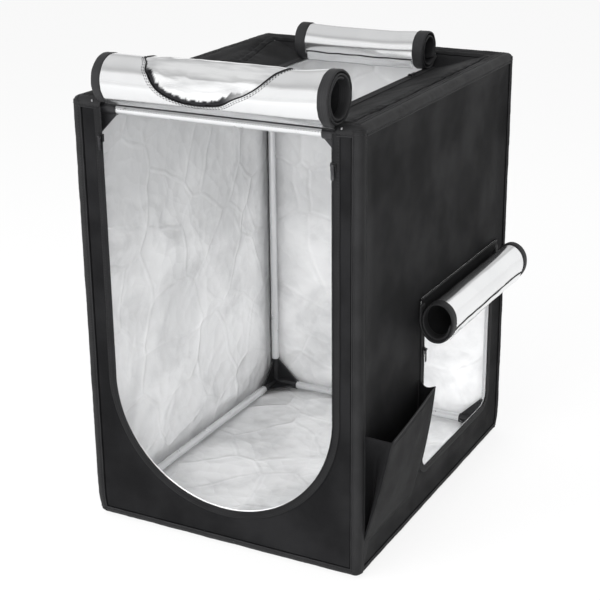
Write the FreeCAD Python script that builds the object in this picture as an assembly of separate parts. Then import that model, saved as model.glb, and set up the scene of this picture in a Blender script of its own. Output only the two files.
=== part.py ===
"""Printer enclosure tent: a tube frame in a sewn cover, with a rolled door and two rolled flaps.

Units are millimetres. X runs to the right, Y to the rear and Z up. The origin is the
middle of the base, on the surface that the tent stands on. Each piece is a closed solid
in a STEP file of its own.
"""
import FreeCAD, Part
import math
import os

os.makedirs("parts", exist_ok=True)

Vector = FreeCAD.Vector

# Cover: outside size over the edge bindings, and the layers of its walls.
cover_width = 485.0
cover_depth = 610.0
cover_height = 720.0
edge_radius = 12.0
panel_recess = 1.2
fabric_thickness = 2.0
lining_thickness = 0.8

# Roof: it sags in a shallow tray round its opening.
sag_border = 36.0
sag_depth = 21.0

# Tube frame and its corner connectors.
tube_diameter = 14.0
tube_wall = 0.9
tube_inset = 16.0
socket_clearance = 0.1
sleeve_wall = 1.5
sleeve_reach = 50.0
socket_stop = 13.0
web_reach = 57.0
web_thickness = 3.0
hub_clearance = 0.2

# Front door opening: straight sides and a half-round bottom.
door_side_border = 42.5
door_opening_bottom = 62.0
door_seam_drop = 4.0

# Side opening in the right wall.
side_opening_front = -60.0
side_opening_rear = 252.0
side_opening_bottom = 76.0
side_opening_top = 388.0
side_opening_radius = 25.0

# Roof opening.
roof_opening_width = 236.0
roof_opening_front = -150.0
roof_opening_rear = 246.0
roof_opening_radius = 30.0

# Zip tapes round the openings: their teeth stand free of the panel's edge.
tape_width = 10.0
tape_thickness = 1.0
tape_overhang = 3.0

# Layers of the door and flaps.
flap_fabric_thickness = 1.6
flap_lining_thickness = 0.8
border_extra = 0.3
window_thickness = 0.25
window_gap = 0.05
bead_radius = 2.2
seam_gap = 0.3
rest_gap = 0.6

# Rolled front door.
door_roll_radius = 39.0
door_roll_pitch = 5.0
door_roll_half_turns = 5
door_roll_setback = 7.0
door_roll_left = -190.0
door_roll_right = 207.0
door_border_width = 16.0
door_seam_angle = 150.0
window_left = -118.0
window_right = 104.0
window_start = 0.12
window_end = 0.75

# Rolled roof flap.
top_roll_radius = 32.0
top_roll_pitch = 6.0
top_roll_half_turns = 4
top_roll_advance = 41.0
top_roll_length = 248.0
top_border_width = 20.0
top_seam_margin = 3.0

# Rolled side flap.
side_roll_radius = 33.0
side_roll_pitch = 6.0
side_roll_half_turns = 3
side_roll_drop = 33.0
side_roll_front = -82.0
side_roll_rear = 272.0
side_border_width = 18.0

# Pocket on the right wall, wider open at its front end.
pocket_length = 220.0
pocket_bottom = 52.0
pocket_top = 243.0
pocket_mouth_front = 51.0
pocket_mouth_rear = 30.0
pocket_fabric = 1.5
pocket_hem = 3.0
pocket_clearance = 0.2

# Zip sliders and their pulls, in the slider's own directions: across the tape towards
# the opening, along the tape, and out from the tape. A slider stands a drop below the
# cover's top or its opening's, or a lead in front of the roof opening's rear.
slider_width = 9.0
slider_length = 12.0
slider_plate = 1.5
slider_outer_lap = 4.5
slider_inner_start = 0.5
slider_clearance = 0.3
slider_wall_start = 3.4
pull_bar_radius = 0.8
pull_bar_offset = 3.0
pull_bar_rise = 2.5
pull_bar_span = 7.0
cheek_thickness = 1.2
pull_eye_radius = 2.2
pull_eye_bore = 1.2
pull_eye_width = 4.0
pull_width = 5.0
pull_length = 22.0
pull_thickness = 1.2
pull_neck = 1.8
front_slider_drop = 60.0
side_slider_drop = 92.0
top_slider_lead = 96.0

# Values that follow from those above.
half_width = cover_width / 2
half_depth = cover_depth / 2
wall_depth = panel_recess + fabric_thickness
cover_inside = wall_depth + lining_thickness
sleeve_radius = tube_diameter / 2 + socket_clearance + sleeve_wall
hub_radius = tube_inset - cover_inside - hub_clearance
door_half_width = half_width - door_side_border
door_arch_centre = door_opening_bottom + door_half_width
roof_half_opening = roof_opening_width / 2
roof_top = cover_height - panel_recess
lip_top = roof_top - sag_depth
wall_face = half_width - panel_recess
pocket_front = -half_depth + edge_radius + pocket_clearance
pocket_rear = pocket_front + pocket_length
jaw_height = tape_thickness / 2 + slider_clearance
slider_face = jaw_height + slider_plate
slider_end = slider_width - slider_outer_lap
slider_middle = (slider_end - slider_outer_lap) / 2
pull_bar_height = slider_face + pull_bar_rise
front_slider_height = cover_height - front_slider_drop
side_slider_height = side_opening_top - side_slider_drop
top_slider_station = roof_opening_rear - top_slider_lead


def export(name, shape):
    """Write one node's STEP file."""
    shape.exportStep("parts/" + name + ".step")


def block(x_low, x_high, y_low, y_high, z_low, z_high):
    """A box given by its two ends along each axis."""
    size = (x_high - x_low, y_high - y_low, z_high - z_low)
    return Part.makeBox(*size, Vector(x_low, y_low, z_low))


def xz_plane(a, b, at):
    return Vector(a, at, b)


def yz_plane(a, b, at):
    return Vector(at, a, b)


def xy_plane(a, b, at):
    return Vector(a, b, at)


# ---- Cover shells ----

def rounded_box(inset):
    """The cover's outside form, drawn in by an inset, with every edge rounded."""
    x = half_width - inset
    y = half_depth - inset
    body = block(-x, x, -y, y, inset, cover_height - inset)
    return body.makeFillet(edge_radius - inset, body.Edges)


def shell(inset, thickness):
    """One closed layer of the cover, from an inset inwards."""
    return rounded_box(inset).cut(rounded_box(inset + thickness))


def u_outline(plane, at, low, high, bottom, top, radius):
    """A closed outline with square corners at its top and rounded ones at its bottom."""
    def point(a, b):
        return plane(a, b, at)

    bulge = radius * (1 - math.sqrt(0.5))
    low_side = point(low, bottom + radius)
    low_foot = point(low + radius, bottom)
    high_foot = point(high - radius, bottom)
    high_side = point(high, bottom + radius)
    edges = [
        Part.LineSegment(point(low, top), low_side),
        Part.Arc(low_side, point(low + bulge, bottom + bulge), low_foot),
    ]
    if not math.isclose(high - low, 2 * radius):
        edges.append(Part.LineSegment(low_foot, high_foot))
    edges += [
        Part.Arc(high_foot, point(high - bulge, bottom + bulge), high_side),
        Part.LineSegment(high_side, point(high, top)),
        Part.LineSegment(point(high, top), point(low, top)),
    ]
    return Part.Face(Part.Wire([edge.toShape() for edge in edges]))


def door_prism(grow, y_low, y_high, top):
    """The front door opening, grown by a margin, as a solid along Y."""
    reach = door_half_width + grow
    face = u_outline(xz_plane, y_low, -reach, reach, door_arch_centre - reach, top, reach)
    return face.extrude(Vector(0, y_high - y_low, 0))


def side_prism(grow, x_low, x_high):
    """The side opening, grown by a margin at its front, rear and bottom, as a solid along X."""
    face = u_outline(
        yz_plane, x_low,
        side_opening_front - grow, side_opening_rear + grow,
        side_opening_bottom - grow, side_opening_top,
        side_opening_radius + grow,
    )
    return face.extrude(Vector(x_high - x_low, 0, 0))


def roof_prism(grow, z_low, z_high):
    """The roof opening, grown by a margin at its sides and front, as a solid along Z."""
    face = u_outline(
        xy_plane, z_low,
        -roof_half_opening - grow, roof_half_opening + grow,
        roof_opening_front - grow, roof_opening_rear,
        roof_opening_radius + grow,
    )
    return face.extrude(Vector(0, 0, z_high - z_low))


def roof_tray(drop):
    """The space that the sagging roof leaves above it, lowered by a distance."""
    def rectangle(x_reach, y_low, y_high, z):
        corners = [(-x_reach, y_low), (x_reach, y_low), (x_reach, y_high), (-x_reach, y_high)]
        points = [Vector(x, y, z) for x, y in corners]
        return Part.makePolygon(points + points[:1])

    rim_x = half_width - sag_border
    rim_y = half_depth - sag_border
    rim = rectangle(rim_x, -rim_y, rim_y, roof_top - drop)
    floor = rectangle(
        roof_half_opening + tape_width,
        roof_opening_front - tape_width,
        roof_opening_rear,
        lip_top - drop,
    )
    return Part.makeLoft([floor, rim], True, True)


def roof_cutout():
    """The square hole in the sagging roof, which the roof's zip tape lines."""
    return block(
        -roof_half_opening - tape_width, roof_half_opening + tape_width,
        roof_opening_front - tape_width, roof_opening_rear,
        lip_top - sag_depth, roof_top,
    )


def door_seam_cut():
    """The stretch of the front top edge that the door's own seam takes up."""
    return block(
        -door_half_width, door_half_width,
        -half_depth, -half_depth + edge_radius,
        cover_height - edge_radius, cover_height - door_seam_drop,
    )


def build_panels():
    """The six fabric panels, flat between the edge bindings."""
    x = half_width - edge_radius
    y = half_depth - edge_radius
    low = edge_radius
    high = cover_height - edge_radius
    front = block(-x, x, -half_depth + panel_recess, -half_depth + wall_depth, low, high)
    rear = block(-x, x, half_depth - wall_depth, half_depth - panel_recess, low, high)
    left = block(-wall_face, -half_width + wall_depth, -y, y, low, high)
    right = block(half_width - wall_depth, wall_face, -y, y, low, high)
    floor = block(-x, x, -y, y, 0, wall_depth)
    roof = block(-x, x, -y, y, cover_height - wall_depth, roof_top)
    roof = roof.fuse(roof_tray(fabric_thickness)).cut(roof_tray(0)).cut(roof_cutout())
    export("front_panel", front.cut(door_prism(0, -half_depth, -half_depth + wall_depth, high)))
    export("rear_panel", rear)
    export("left_panel", left)
    export("right_panel", right.cut(side_prism(0, half_width - wall_depth, half_width)))
    export("floor_panel", floor)
    export("roof_panel", roof.removeSplitter())


def build_bindings():
    """The sewn bindings over the twelve edges, as a top ring, a bottom ring and four uprights."""
    layer = shell(0, wall_depth)
    x = half_width - edge_radius
    y = half_depth - edge_radius
    top_start = cover_height - edge_radius
    top = layer.common(block(-half_width, half_width, -half_depth, half_depth, top_start, cover_height))
    top = top.cut(block(-x, x, -y, y, top_start, cover_height))
    bottom = layer.common(block(-half_width, half_width, -half_depth, half_depth, 0, edge_radius))
    bottom = bottom.cut(block(-x, x, -y, y, 0, edge_radius))
    uprights = []
    for side_x in (-1, 1):
        for side_y in (-1, 1):
            ends_x = sorted((side_x * x, side_x * half_width))
            ends_y = sorted((side_y * y, side_y * half_depth))
            uprights.append(layer.common(block(*ends_x, *ends_y, edge_radius, top_start)))
    export("top_edge_binding", top.cut(door_seam_cut()))
    export("bottom_edge_binding", bottom)
    export("upright_edge_bindings", Part.makeCompound(uprights))


def build_linings():
    """The reflective linings, one behind each panel, with the same openings."""
    layer = shell(wall_depth, lining_thickness)
    x = half_width - edge_radius
    low = edge_radius
    high = cover_height - edge_radius
    deep = half_depth
    front = layer.common(block(-x, x, -deep, 0, low, high))
    rear = layer.common(block(-x, x, 0, deep, low, high))
    left = layer.common(block(-half_width, -x, -deep, deep, low, high))
    right = layer.common(block(x, half_width, -deep, deep, low, high))
    floor = layer.common(block(-half_width, half_width, -deep, deep, 0, low))
    roof = layer.common(block(-half_width, half_width, -deep, deep, high, cover_height))
    roof = roof.fuse(roof_tray(fabric_thickness + lining_thickness))
    roof = roof.cut(roof_tray(fabric_thickness)).cut(roof_cutout()).cut(door_seam_cut())
    export("front_lining", front.cut(door_prism(0, -half_depth, -half_depth + cover_inside, high)))
    export("rear_lining", rear)
    export("left_lining", left)
    export("right_lining", right.cut(side_prism(0, half_width - cover_inside, half_width)))
    export("floor_lining", floor)
    export("roof_lining", roof.removeSplitter())


def build_zip_tapes():
    """The cover's halves of the three zips."""
    front_face = -half_depth + panel_recess
    tape_top = cover_height - edge_radius
    front = door_prism(tape_width, front_face - tape_thickness, front_face, tape_top)
    front = front.cut(door_prism(-tape_overhang, front_face - tape_thickness, front_face, tape_top))
    side = side_prism(tape_width, wall_face, wall_face + tape_thickness)
    side = side.cut(side_prism(-tape_overhang, wall_face, wall_face + tape_thickness))
    top = roof_cutout().common(block(
        -half_width, half_width, -half_depth, half_depth, lip_top - tape_thickness, lip_top,
    ))
    top = top.cut(roof_prism(0, lip_top - tape_thickness, lip_top))
    export("front_zip_tape", front)
    export("side_zip_tape", side)
    export("top_zip_tape", top)


# ---- Tube frame ----

def tube(start, direction, length):
    """A hollow frame tube."""
    outer = Part.makeCylinder(tube_diameter / 2, length, start, direction)
    return outer.cut(Part.makeCylinder(tube_diameter / 2 - tube_wall, length, start, direction))


frame_x = half_width - tube_inset
frame_y = half_depth - tube_inset
frame_low = tube_inset
frame_high = cover_height - tube_inset


def build_tubes():
    """Four posts and eight rails, each stopping inside a connector's socket at both ends."""
    along_x = Vector(1, 0, 0)
    along_y = Vector(0, 1, 0)
    along_z = Vector(0, 0, 1)
    for level, z in (("bottom", frame_low), ("top", frame_high)):
        for name, y in (("front", -frame_y), ("rear", frame_y)):
            start = Vector(-frame_x + socket_stop, y, z)
            export("tube_" + name + "_" + level, tube(start, along_x, 2 * (frame_x - socket_stop)))
        for name, x in (("left", -frame_x), ("right", frame_x)):
            start = Vector(x, -frame_y + socket_stop, z)
            export("tube_" + name + "_" + level, tube(start, along_y, 2 * (frame_y - socket_stop)))
    for depth_name, y in (("front", -frame_y), ("rear", frame_y)):
        for side_name, x in (("left", -frame_x), ("right", frame_x)):
            start = Vector(x, y, frame_low + socket_stop)
            height = frame_high - frame_low - 2 * socket_stop
            export("post_" + depth_name + "_" + side_name, tube(start, along_z, height))


def corner_connector():
    """A three-way connector at the origin, with its sockets along +X, +Y and +Z."""
    centre = Vector(0, 0, 0)
    axes = (Vector(1, 0, 0), Vector(0, 1, 0), Vector(0, 0, 1))
    body = Part.makeSphere(hub_radius, centre)
    for axis in axes:
        body = body.fuse(Part.makeCylinder(sleeve_radius, sleeve_reach, centre, axis))
    for index, normal in enumerate(axes):
        first = axes[index - 2]
        second = axes[index - 1]
        base = normal * (-web_thickness / 2)
        corners = [base, base + first * web_reach, base + second * web_reach, base]
        body = body.fuse(Part.Face(Part.makePolygon(corners)).extrude(normal * web_thickness))
    for axis in axes:
        bore_radius = tube_diameter / 2 + socket_clearance
        bore = Part.makeCylinder(bore_radius, sleeve_reach, axis * socket_stop, axis)
        body = body.cut(bore)
    return body.removeSplitter()


def build_connectors():
    """Eight copies of the connector, each mirrored to face inwards from its corner."""
    connector = corner_connector()
    for level, z, up in (("bottom", frame_low, 1), ("top", frame_high, -1)):
        for depth_name, y, inward_y in (("front", -frame_y, 1), ("rear", frame_y, -1)):
            for side_name, x, inward_x in (("left", -frame_x, 1), ("right", frame_x, -1)):
                piece = connector.copy()
                facing = Vector(inward_x, inward_y, up)
                for axis in (Vector(1, 0, 0), Vector(0, 1, 0), Vector(0, 0, 1)):
                    if facing.dot(axis) < 0:
                        piece = piece.mirror(Vector(0, 0, 0), axis)
                piece.translate(Vector(x, y, z))
                export("connector_" + level + "_" + depth_name + "_" + side_name, piece)


# ---- Rolled door and flaps ----

def heading_vector(angle):
    return (math.cos(angle), math.sin(angle))


def path_point(segment, fraction, offset):
    """The point a fraction of the way along a straight or bent segment, offset to its left."""
    start, heading, length, bend = segment
    if bend == 0:
        ahead = heading_vector(heading)
        a = start[0] + ahead[0] * length * fraction
        b = start[1] + ahead[1] * length * fraction
    else:
        radius = length / bend
        first = heading_vector(heading + math.pi / 2)
        now = heading_vector(heading + bend * fraction + math.pi / 2)
        a = start[0] + radius * (first[0] - now[0])
        b = start[1] + radius * (first[1] - now[1])
    left = heading_vector(heading + bend * fraction + math.pi / 2)
    return (a + left[0] * offset, b + left[1] * offset)


def part_of(segment, first, last):
    """The stretch of a segment between two fractions of its length."""
    start, heading, length, bend = segment
    share = last - first
    return (path_point(segment, first, 0), heading + bend * first, length * share, bend * share)


def roll_path(seam, centre, radius, pitch, half_turns, turn):
    """A straight run from the seam, then half circles that shrink to make a spiral.

    turn is 1 for a roll that turns to the left of its path and -1 for one that turns right.
    """
    across = centre[0] - seam[0]
    rise = centre[1] - seam[1]
    distance = math.hypot(across, rise)
    run = math.sqrt(distance * distance - radius * radius)
    heading = math.atan2(rise, across) - turn * math.asin(radius / distance)
    segments = [(seam, heading, run, 0)]
    for half_turn in range(half_turns):
        start = path_point(segments[-1], 1, 0)
        arc_radius = radius - half_turn * pitch / 2
        segments.append((start, heading, math.pi * arc_radius, turn * math.pi))
        heading += turn * math.pi
    return segments


def ribbon(segments, plane, at, left, right, extrusion):
    """A sheet of even thickness that follows a path, from its left offset to its right one."""
    def edge(segment, first, last, offset):
        start = plane(*path_point(segment, first, offset), at)
        end = plane(*path_point(segment, last, offset), at)
        if segment[3] == 0:
            return Part.LineSegment(start, end).toShape()
        return Part.Arc(start, plane(*path_point(segment, 0.5, offset), at), end).toShape()

    edges = [edge(segment, 0, 1, left) for segment in segments]
    edges.append(Part.LineSegment(
        plane(*path_point(segments[-1], 1, left), at),
        plane(*path_point(segments[-1], 1, right), at),
    ).toShape())
    edges += [edge(segment, 1, 0, right) for segment in reversed(segments)]
    edges.append(Part.LineSegment(
        plane(*path_point(segments[0], 0, right), at),
        plane(*path_point(segments[0], 0, left), at),
    ).toShape())
    return Part.Face(Part.Wire(edges)).extrude(extrusion)


def build_roll(name, segments, turn, plane, axis, start, end, border_width):
    """The fabric, lining and end borders of one rolled sheet, hinged on a round seam bead."""
    def sheet(inner, outer, low, high):
        # The lining is on the outside of the roll, away from the side that the path turns to.
        return ribbon(segments, plane, low, turn * inner, -turn * outer, axis * (high - low))

    def bead(low, high):
        return Part.makeCylinder(bead_radius, high - low, plane(*segments[0][0], low), axis)

    inner_start = start + border_width
    inner_end = end - border_width
    fabric = sheet(flap_fabric_thickness, 0, inner_start, inner_end).fuse(bead(start, end))
    lining = sheet(0, flap_lining_thickness, inner_start, inner_end).cut(bead(start, end))
    borders = []
    for low, high in ((start, inner_start), (inner_end, end)):
        inner = flap_fabric_thickness + border_extra
        outer = flap_lining_thickness + border_extra
        borders.append(sheet(inner, outer, low, high).cut(bead(start, end)))
    export(name + "_fabric", fabric.removeSplitter())
    export(name + "_lining", lining)
    export(name + "_border", Part.makeCompound(borders))


def path_radius(roll_radius):
    """The radius between a roll's fabric and its lining, for the radius over its borders."""
    return roll_radius - flap_lining_thickness - border_extra


def build_front_door():
    """The door, rolled up over its seam along the front top edge and lying on the roof.

    The roll's underside belongs to its second half turn, which lies about one pitch
    higher than the first one would, so its centre sits that much lower.
    """
    reach = edge_radius + seam_gap + bead_radius
    angle = math.radians(door_seam_angle)
    seam = (
        -half_depth + edge_radius + reach * math.cos(angle),
        cover_height - edge_radius + reach * math.sin(angle),
    )
    centre = (
        -half_depth + door_roll_setback,
        cover_height + door_roll_radius - door_roll_pitch + rest_gap,
    )
    radius = path_radius(door_roll_radius)
    segments = roll_path(seam, centre, radius, door_roll_pitch, door_roll_half_turns, -1)
    along_x = Vector(1, 0, 0)
    build_roll(
        "front_door", segments, -1, yz_plane, along_x,
        door_roll_left, door_roll_right, door_border_width,
    )
    outer_layer = part_of(segments[1], window_start, window_end)
    window = ribbon(
        [outer_layer], yz_plane, window_left,
        flap_lining_thickness + window_gap + window_thickness, flap_lining_thickness + window_gap,
        along_x * (window_right - window_left),
    )
    export("front_door_window", window)


def build_top_flap():
    """The roof flap, rolled back over its seam behind the roof opening."""
    seam = (
        half_depth - sag_border - top_seam_margin,
        roof_top + seam_gap + bead_radius,
    )
    centre = (
        seam[0] - top_roll_advance,
        lip_top + top_roll_radius + rest_gap,
    )
    radius = path_radius(top_roll_radius)
    segments = roll_path(seam, centre, radius, top_roll_pitch, top_roll_half_turns, -1)
    build_roll(
        "top_flap", segments, -1, yz_plane, Vector(1, 0, 0),
        -top_roll_length / 2, top_roll_length / 2, top_border_width,
    )


def build_side_flap():
    """The side flap, rolled up on the outside below its seam over the side opening."""
    radius = path_radius(side_roll_radius)
    seam = (wall_face + seam_gap + bead_radius, side_opening_top + seam_gap + bead_radius)
    centre = (seam[0] + radius, seam[1] - side_roll_drop)
    segments = roll_path(seam, centre, radius, side_roll_pitch, side_roll_half_turns, 1)
    build_roll(
        "side_flap", segments, 1, xz_plane, Vector(0, 1, 0),
        side_roll_front, side_roll_rear, side_border_width,
    )


# ---- Pocket ----

def mouth_at(y):
    """How far the pocket's mouth stands open at a place along it."""
    share = (y - pocket_front) / (pocket_rear - pocket_front)
    return pocket_mouth_front + (pocket_mouth_rear - pocket_mouth_front) * share


def slanted_quad(x_front, x_rear, thickness, z):
    """A thin quadrilateral at one height, as long as the pocket."""
    points = [
        Vector(x_front, pocket_front, z),
        Vector(x_front + thickness, pocket_front, z),
        Vector(x_rear + thickness, pocket_rear, z),
        Vector(x_rear, pocket_rear, z),
    ]
    return Part.makePolygon(points + points[:1])


def build_pocket():
    """The pocket's leaning front, and the folded cloth that closes each of its ends."""
    hem_face = wall_face + pocket_clearance
    low = slanted_quad(hem_face, hem_face, pocket_hem, pocket_bottom)
    high = slanted_quad(
        wall_face + pocket_mouth_front, wall_face + pocket_mouth_rear, pocket_fabric, pocket_top,
    )
    export("pocket_front", Part.makeLoft([low, high], True, True))
    for name, y_low in (("front", pocket_front), ("rear", pocket_rear - pocket_fabric)):
        narrower = min(mouth_at(y_low), mouth_at(y_low + pocket_fabric))
        rise = pocket_top - pocket_bottom
        start_share = pocket_hem / narrower
        corners = [
            Vector(wall_face, y_low, pocket_bottom + rise * start_share),
            Vector(wall_face + narrower - pocket_clearance, y_low, pocket_top),
            Vector(wall_face, y_low, pocket_top),
        ]
        side = Part.Face(Part.makePolygon(corners + corners[:1])).extrude(Vector(0, pocket_fabric, 0))
        export("pocket_gusset_" + name, side)


# ---- Zip sliders and pulls ----

def slider_body():
    """A slider whose jaws close over the tape's free edge, with a bar for its pull."""
    low = -slider_outer_lap
    half_length = slider_length / 2
    body = block(low, slider_end, -half_length, half_length, -slider_face, slider_face)
    body = body.cut(block(low, slider_wall_start, -half_length, half_length, -jaw_height, jaw_height))
    body = body.cut(block(low, slider_inner_start, -half_length, half_length, -slider_face, -jaw_height))
    bar_start = slider_middle - pull_bar_span / 2
    body = body.fuse(Part.makeCylinder(
        pull_bar_radius, pull_bar_span,
        Vector(bar_start, pull_bar_offset, pull_bar_height), Vector(1, 0, 0),
    ))
    cheek_reach = pull_bar_radius + cheek_thickness / 2
    for cheek_start in (bar_start, bar_start + pull_bar_span - cheek_thickness):
        body = body.fuse(block(
            cheek_start, cheek_start + cheek_thickness,
            pull_bar_offset - cheek_reach, pull_bar_offset + cheek_reach,
            slider_face, pull_bar_height + pull_bar_radius,
        ))
    return body.removeSplitter()


def slider_pull():
    """The pull: an eye on the slider's bar and a flat tongue with a round end."""
    axis_start = Vector(slider_middle - pull_eye_width / 2, pull_bar_offset, pull_bar_height)
    eye = Part.makeCylinder(pull_eye_radius, pull_eye_width, axis_start, Vector(1, 0, 0))
    tip = pull_bar_offset - pull_length + pull_width / 2
    underside = pull_bar_height - pull_thickness / 2
    tongue = block(
        slider_middle - pull_width / 2, slider_middle + pull_width / 2,
        tip, pull_bar_offset - pull_neck,
        underside, underside + pull_thickness,
    )
    tongue = tongue.fuse(Part.makeCylinder(
        pull_width / 2, pull_thickness, Vector(slider_middle, tip, underside),
    ))
    bore = Part.makeCylinder(pull_eye_bore, pull_eye_width, axis_start, Vector(1, 0, 0))
    return eye.fuse(tongue).cut(bore).removeSplitter()


def oriented(shape, origin, across, along, outward):
    """A copy of a shape with its own X, Y and Z turned to three directions, at a place."""
    matrix = FreeCAD.Matrix(
        across.x, along.x, outward.x, origin.x,
        across.y, along.y, outward.y, origin.y,
        across.z, along.z, outward.z, origin.z,
        0, 0, 0, 1,
    )
    piece = shape.copy()
    piece.Placement = FreeCAD.Placement(matrix)
    return piece


def build_sliders():
    """Two sliders on the front zip, one on the side zip and one on the roof zip."""
    x_axis = Vector(1, 0, 0)
    y_axis = Vector(0, 1, 0)
    z_axis = Vector(0, 0, 1)
    tape_middle = tape_thickness / 2
    front_origin = Vector(-door_half_width, -half_depth + panel_recess - tape_middle, front_slider_height)
    side_origin = Vector(wall_face + tape_middle, side_opening_front, side_slider_height)
    top_origin = Vector(roof_half_opening + tape_overhang, top_slider_station, lip_top - tape_middle)
    for name, shape in (("slider", slider_body()), ("pull", slider_pull())):
        front_left = oriented(shape, front_origin, x_axis, z_axis, -y_axis)
        export("front_zip_" + name + "_left", front_left)
        export("front_zip_" + name + "_right", front_left.mirror(Vector(0, 0, 0), x_axis))
        export("side_zip_" + name, oriented(shape, side_origin, y_axis, z_axis, x_axis))
        export("top_zip_" + name, oriented(shape, top_origin, -x_axis, -y_axis, z_axis))


build_panels()
build_bindings()
build_linings()
build_zip_tapes()
build_tubes()
build_connectors()
build_front_door()
build_top_flap()
build_side_flap()
build_pocket()
build_sliders()
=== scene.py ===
"""The looks of the printer enclosure tent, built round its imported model.

Places are worked out in millimetres and laid in metres. A cloth starts as a flat grid as
wide and as long as its cut, and each of its points is then laid where the cloth hangs.
"""
import math
from collections import namedtuple

import bmesh
import bpy
from mathutils import Matrix, Vector, noise


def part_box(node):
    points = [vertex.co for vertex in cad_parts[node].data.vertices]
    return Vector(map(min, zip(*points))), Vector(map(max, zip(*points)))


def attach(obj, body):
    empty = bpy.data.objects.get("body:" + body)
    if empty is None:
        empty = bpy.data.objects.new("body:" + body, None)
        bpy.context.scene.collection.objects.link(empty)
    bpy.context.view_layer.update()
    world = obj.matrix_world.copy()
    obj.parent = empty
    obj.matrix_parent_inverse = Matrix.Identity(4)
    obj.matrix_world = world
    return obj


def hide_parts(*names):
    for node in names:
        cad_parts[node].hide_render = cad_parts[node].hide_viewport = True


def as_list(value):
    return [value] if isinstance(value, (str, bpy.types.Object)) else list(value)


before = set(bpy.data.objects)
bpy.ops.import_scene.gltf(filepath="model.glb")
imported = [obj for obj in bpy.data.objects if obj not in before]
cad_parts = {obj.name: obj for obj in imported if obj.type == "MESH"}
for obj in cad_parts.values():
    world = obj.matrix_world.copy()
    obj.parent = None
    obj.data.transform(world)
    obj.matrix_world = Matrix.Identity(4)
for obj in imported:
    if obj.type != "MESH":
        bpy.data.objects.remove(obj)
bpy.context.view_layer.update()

MM = 0.001


# ---- Small helpers ----

def ease(low, high, value):
    """0 at low, 1 at high, and an even S between them."""
    share = min(1.0, max(0.0, (value - low) / (high - low)))
    return share * share * (3 - 2 * share)


def waver(x, y, z, size):
    """A random height from about -1 to 1 that changes gently over a distance."""
    return noise.noise(Vector((x / size, y / size, z / size)))


def creases(a, b, seed):
    """The lie of slack foil: broad hollows with sharper folds between them."""
    broad = waver(a, b, seed, 150)
    folds = 1 - 2.4 * abs(waver(a + 40 * broad, b - 25 * broad, seed + 9, 85))
    fine = 1 - 2.4 * abs(waver(a - 12 * folds, b + 12 * folds, seed + 21, 30))
    return 0.9 * broad + 0.34 * folds + 0.12 * fine


def corners(node):
    """A node's lowest and highest corners, in millimetres."""
    low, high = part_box(node)
    return low / MM, high / MM


# ---- Paths in a plane ----

Leg = namedtuple("Leg", "start heading length bend")


def ahead(angle):
    return (math.cos(angle), math.sin(angle))


def leg_place(leg, distance, offset):
    """The point a distance along a leg, moved to its left by an offset, and the heading there."""
    turned = leg.bend * distance / leg.length if leg.length else 0.0
    heading = leg.heading + turned
    left = ahead(heading + math.pi / 2)
    if leg.bend == 0:
        forward = ahead(leg.heading)
        a = leg.start[0] + forward[0] * distance
        b = leg.start[1] + forward[1] * distance
    else:
        radius = leg.length / leg.bend
        first = ahead(leg.heading + math.pi / 2)
        a = leg.start[0] + radius * (first[0] - left[0])
        b = leg.start[1] + radius * (first[1] - left[1])
    return (a + left[0] * offset, b + left[1] * offset), heading


def trace(start, heading, steps):
    """A path of legs, each as long and as bent as its step says."""
    legs = []
    for length, bend in steps:
        legs.append(Leg(start, heading, length, bend))
        start, heading = leg_place(legs[-1], length, 0)
    return legs


def walk(legs, distance, offset=0.0):
    """The point a distance along a path, moved to its left by an offset, and the heading there."""
    for leg in legs[:-1]:
        if distance <= leg.length:
            return leg_place(leg, distance, offset)
        distance -= leg.length
    return leg_place(legs[-1], distance, offset)


def length_of(legs):
    return sum(leg.length for leg in legs)


def u_line(low, high, bottom, top, radius):
    """An opening's outline: down its low side, round the bottom and up its high side."""
    quarter = (radius * math.pi / 2, math.pi / 2)
    side = (top - bottom - radius, 0)
    return trace((low, top), -math.pi / 2, [side, quarter, (high - low - 2 * radius, 0), quarter, side])


# ---- Making pieces ----

def show(name, bm, finish, body, stands_for=(), thick=0.0):
    """Turn a bmesh into a piece that rides on a body and takes its finish from a slot."""
    mesh = bpy.data.meshes.new(name)
    bm.to_mesh(mesh)
    bm.free()
    for face in mesh.polygons:
        face.use_smooth = True
    mesh.materials.append(finish)
    piece = bpy.data.objects.new(name, mesh)
    bpy.context.scene.collection.objects.link(piece)
    if thick:
        wall = piece.modifiers.new("thickness", "SOLIDIFY")
        wall.thickness = thick * MM
        wall.offset = 0.0
    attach(piece, body)
    if stands_for:
        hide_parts(*stands_for)
    return piece


def gather_meshes(parts):
    """Several bmeshes put together in one."""
    whole = bmesh.new()
    for part in parts:
        mesh = bpy.data.meshes.new("part")
        part.to_mesh(mesh)
        part.free()
        whole.from_mesh(mesh)
        bpy.data.meshes.remove(mesh)
    return whole


def points_along(line, start, end, step=8.0):
    """Points about a step apart on a line, which gives a point for each distance."""
    count = max(2, round((end - start) / step))
    return [line(start + (end - start) * index / count) for index in range(count + 1)]


def cut_cloth(width, length, cell):
    """A flat cloth as a grid from 0 to its width and length, with a UV map in metres."""
    bm = bmesh.new()
    columns = max(1, round(width / cell))
    rows = max(1, round(length / cell))
    bmesh.ops.create_grid(bm, x_segments=columns, y_segments=rows, size=0.5)
    bmesh.ops.translate(bm, vec=(0.5, 0.5, 0), verts=bm.verts)
    bmesh.ops.scale(bm, vec=(width, length, 1), verts=bm.verts)
    uv = bm.loops.layers.uv.new("cloth")
    for face in bm.faces:
        for loop in face.loops:
            loop[uv].uv = loop.vert.co.xy * MM
    return bm


def lay_cloth(bm, place):
    """Lay each point of a flat cloth where place(across, along) says, and close what meets."""
    for point in bm.verts:
        point.co = place(point.co.x, point.co.y) * MM
    bmesh.ops.remove_doubles(bm, verts=bm.verts, dist=0.00002)
    return bm


Hole = namedtuple("Hole", "low_a high_a low_b high_b radius")


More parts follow.
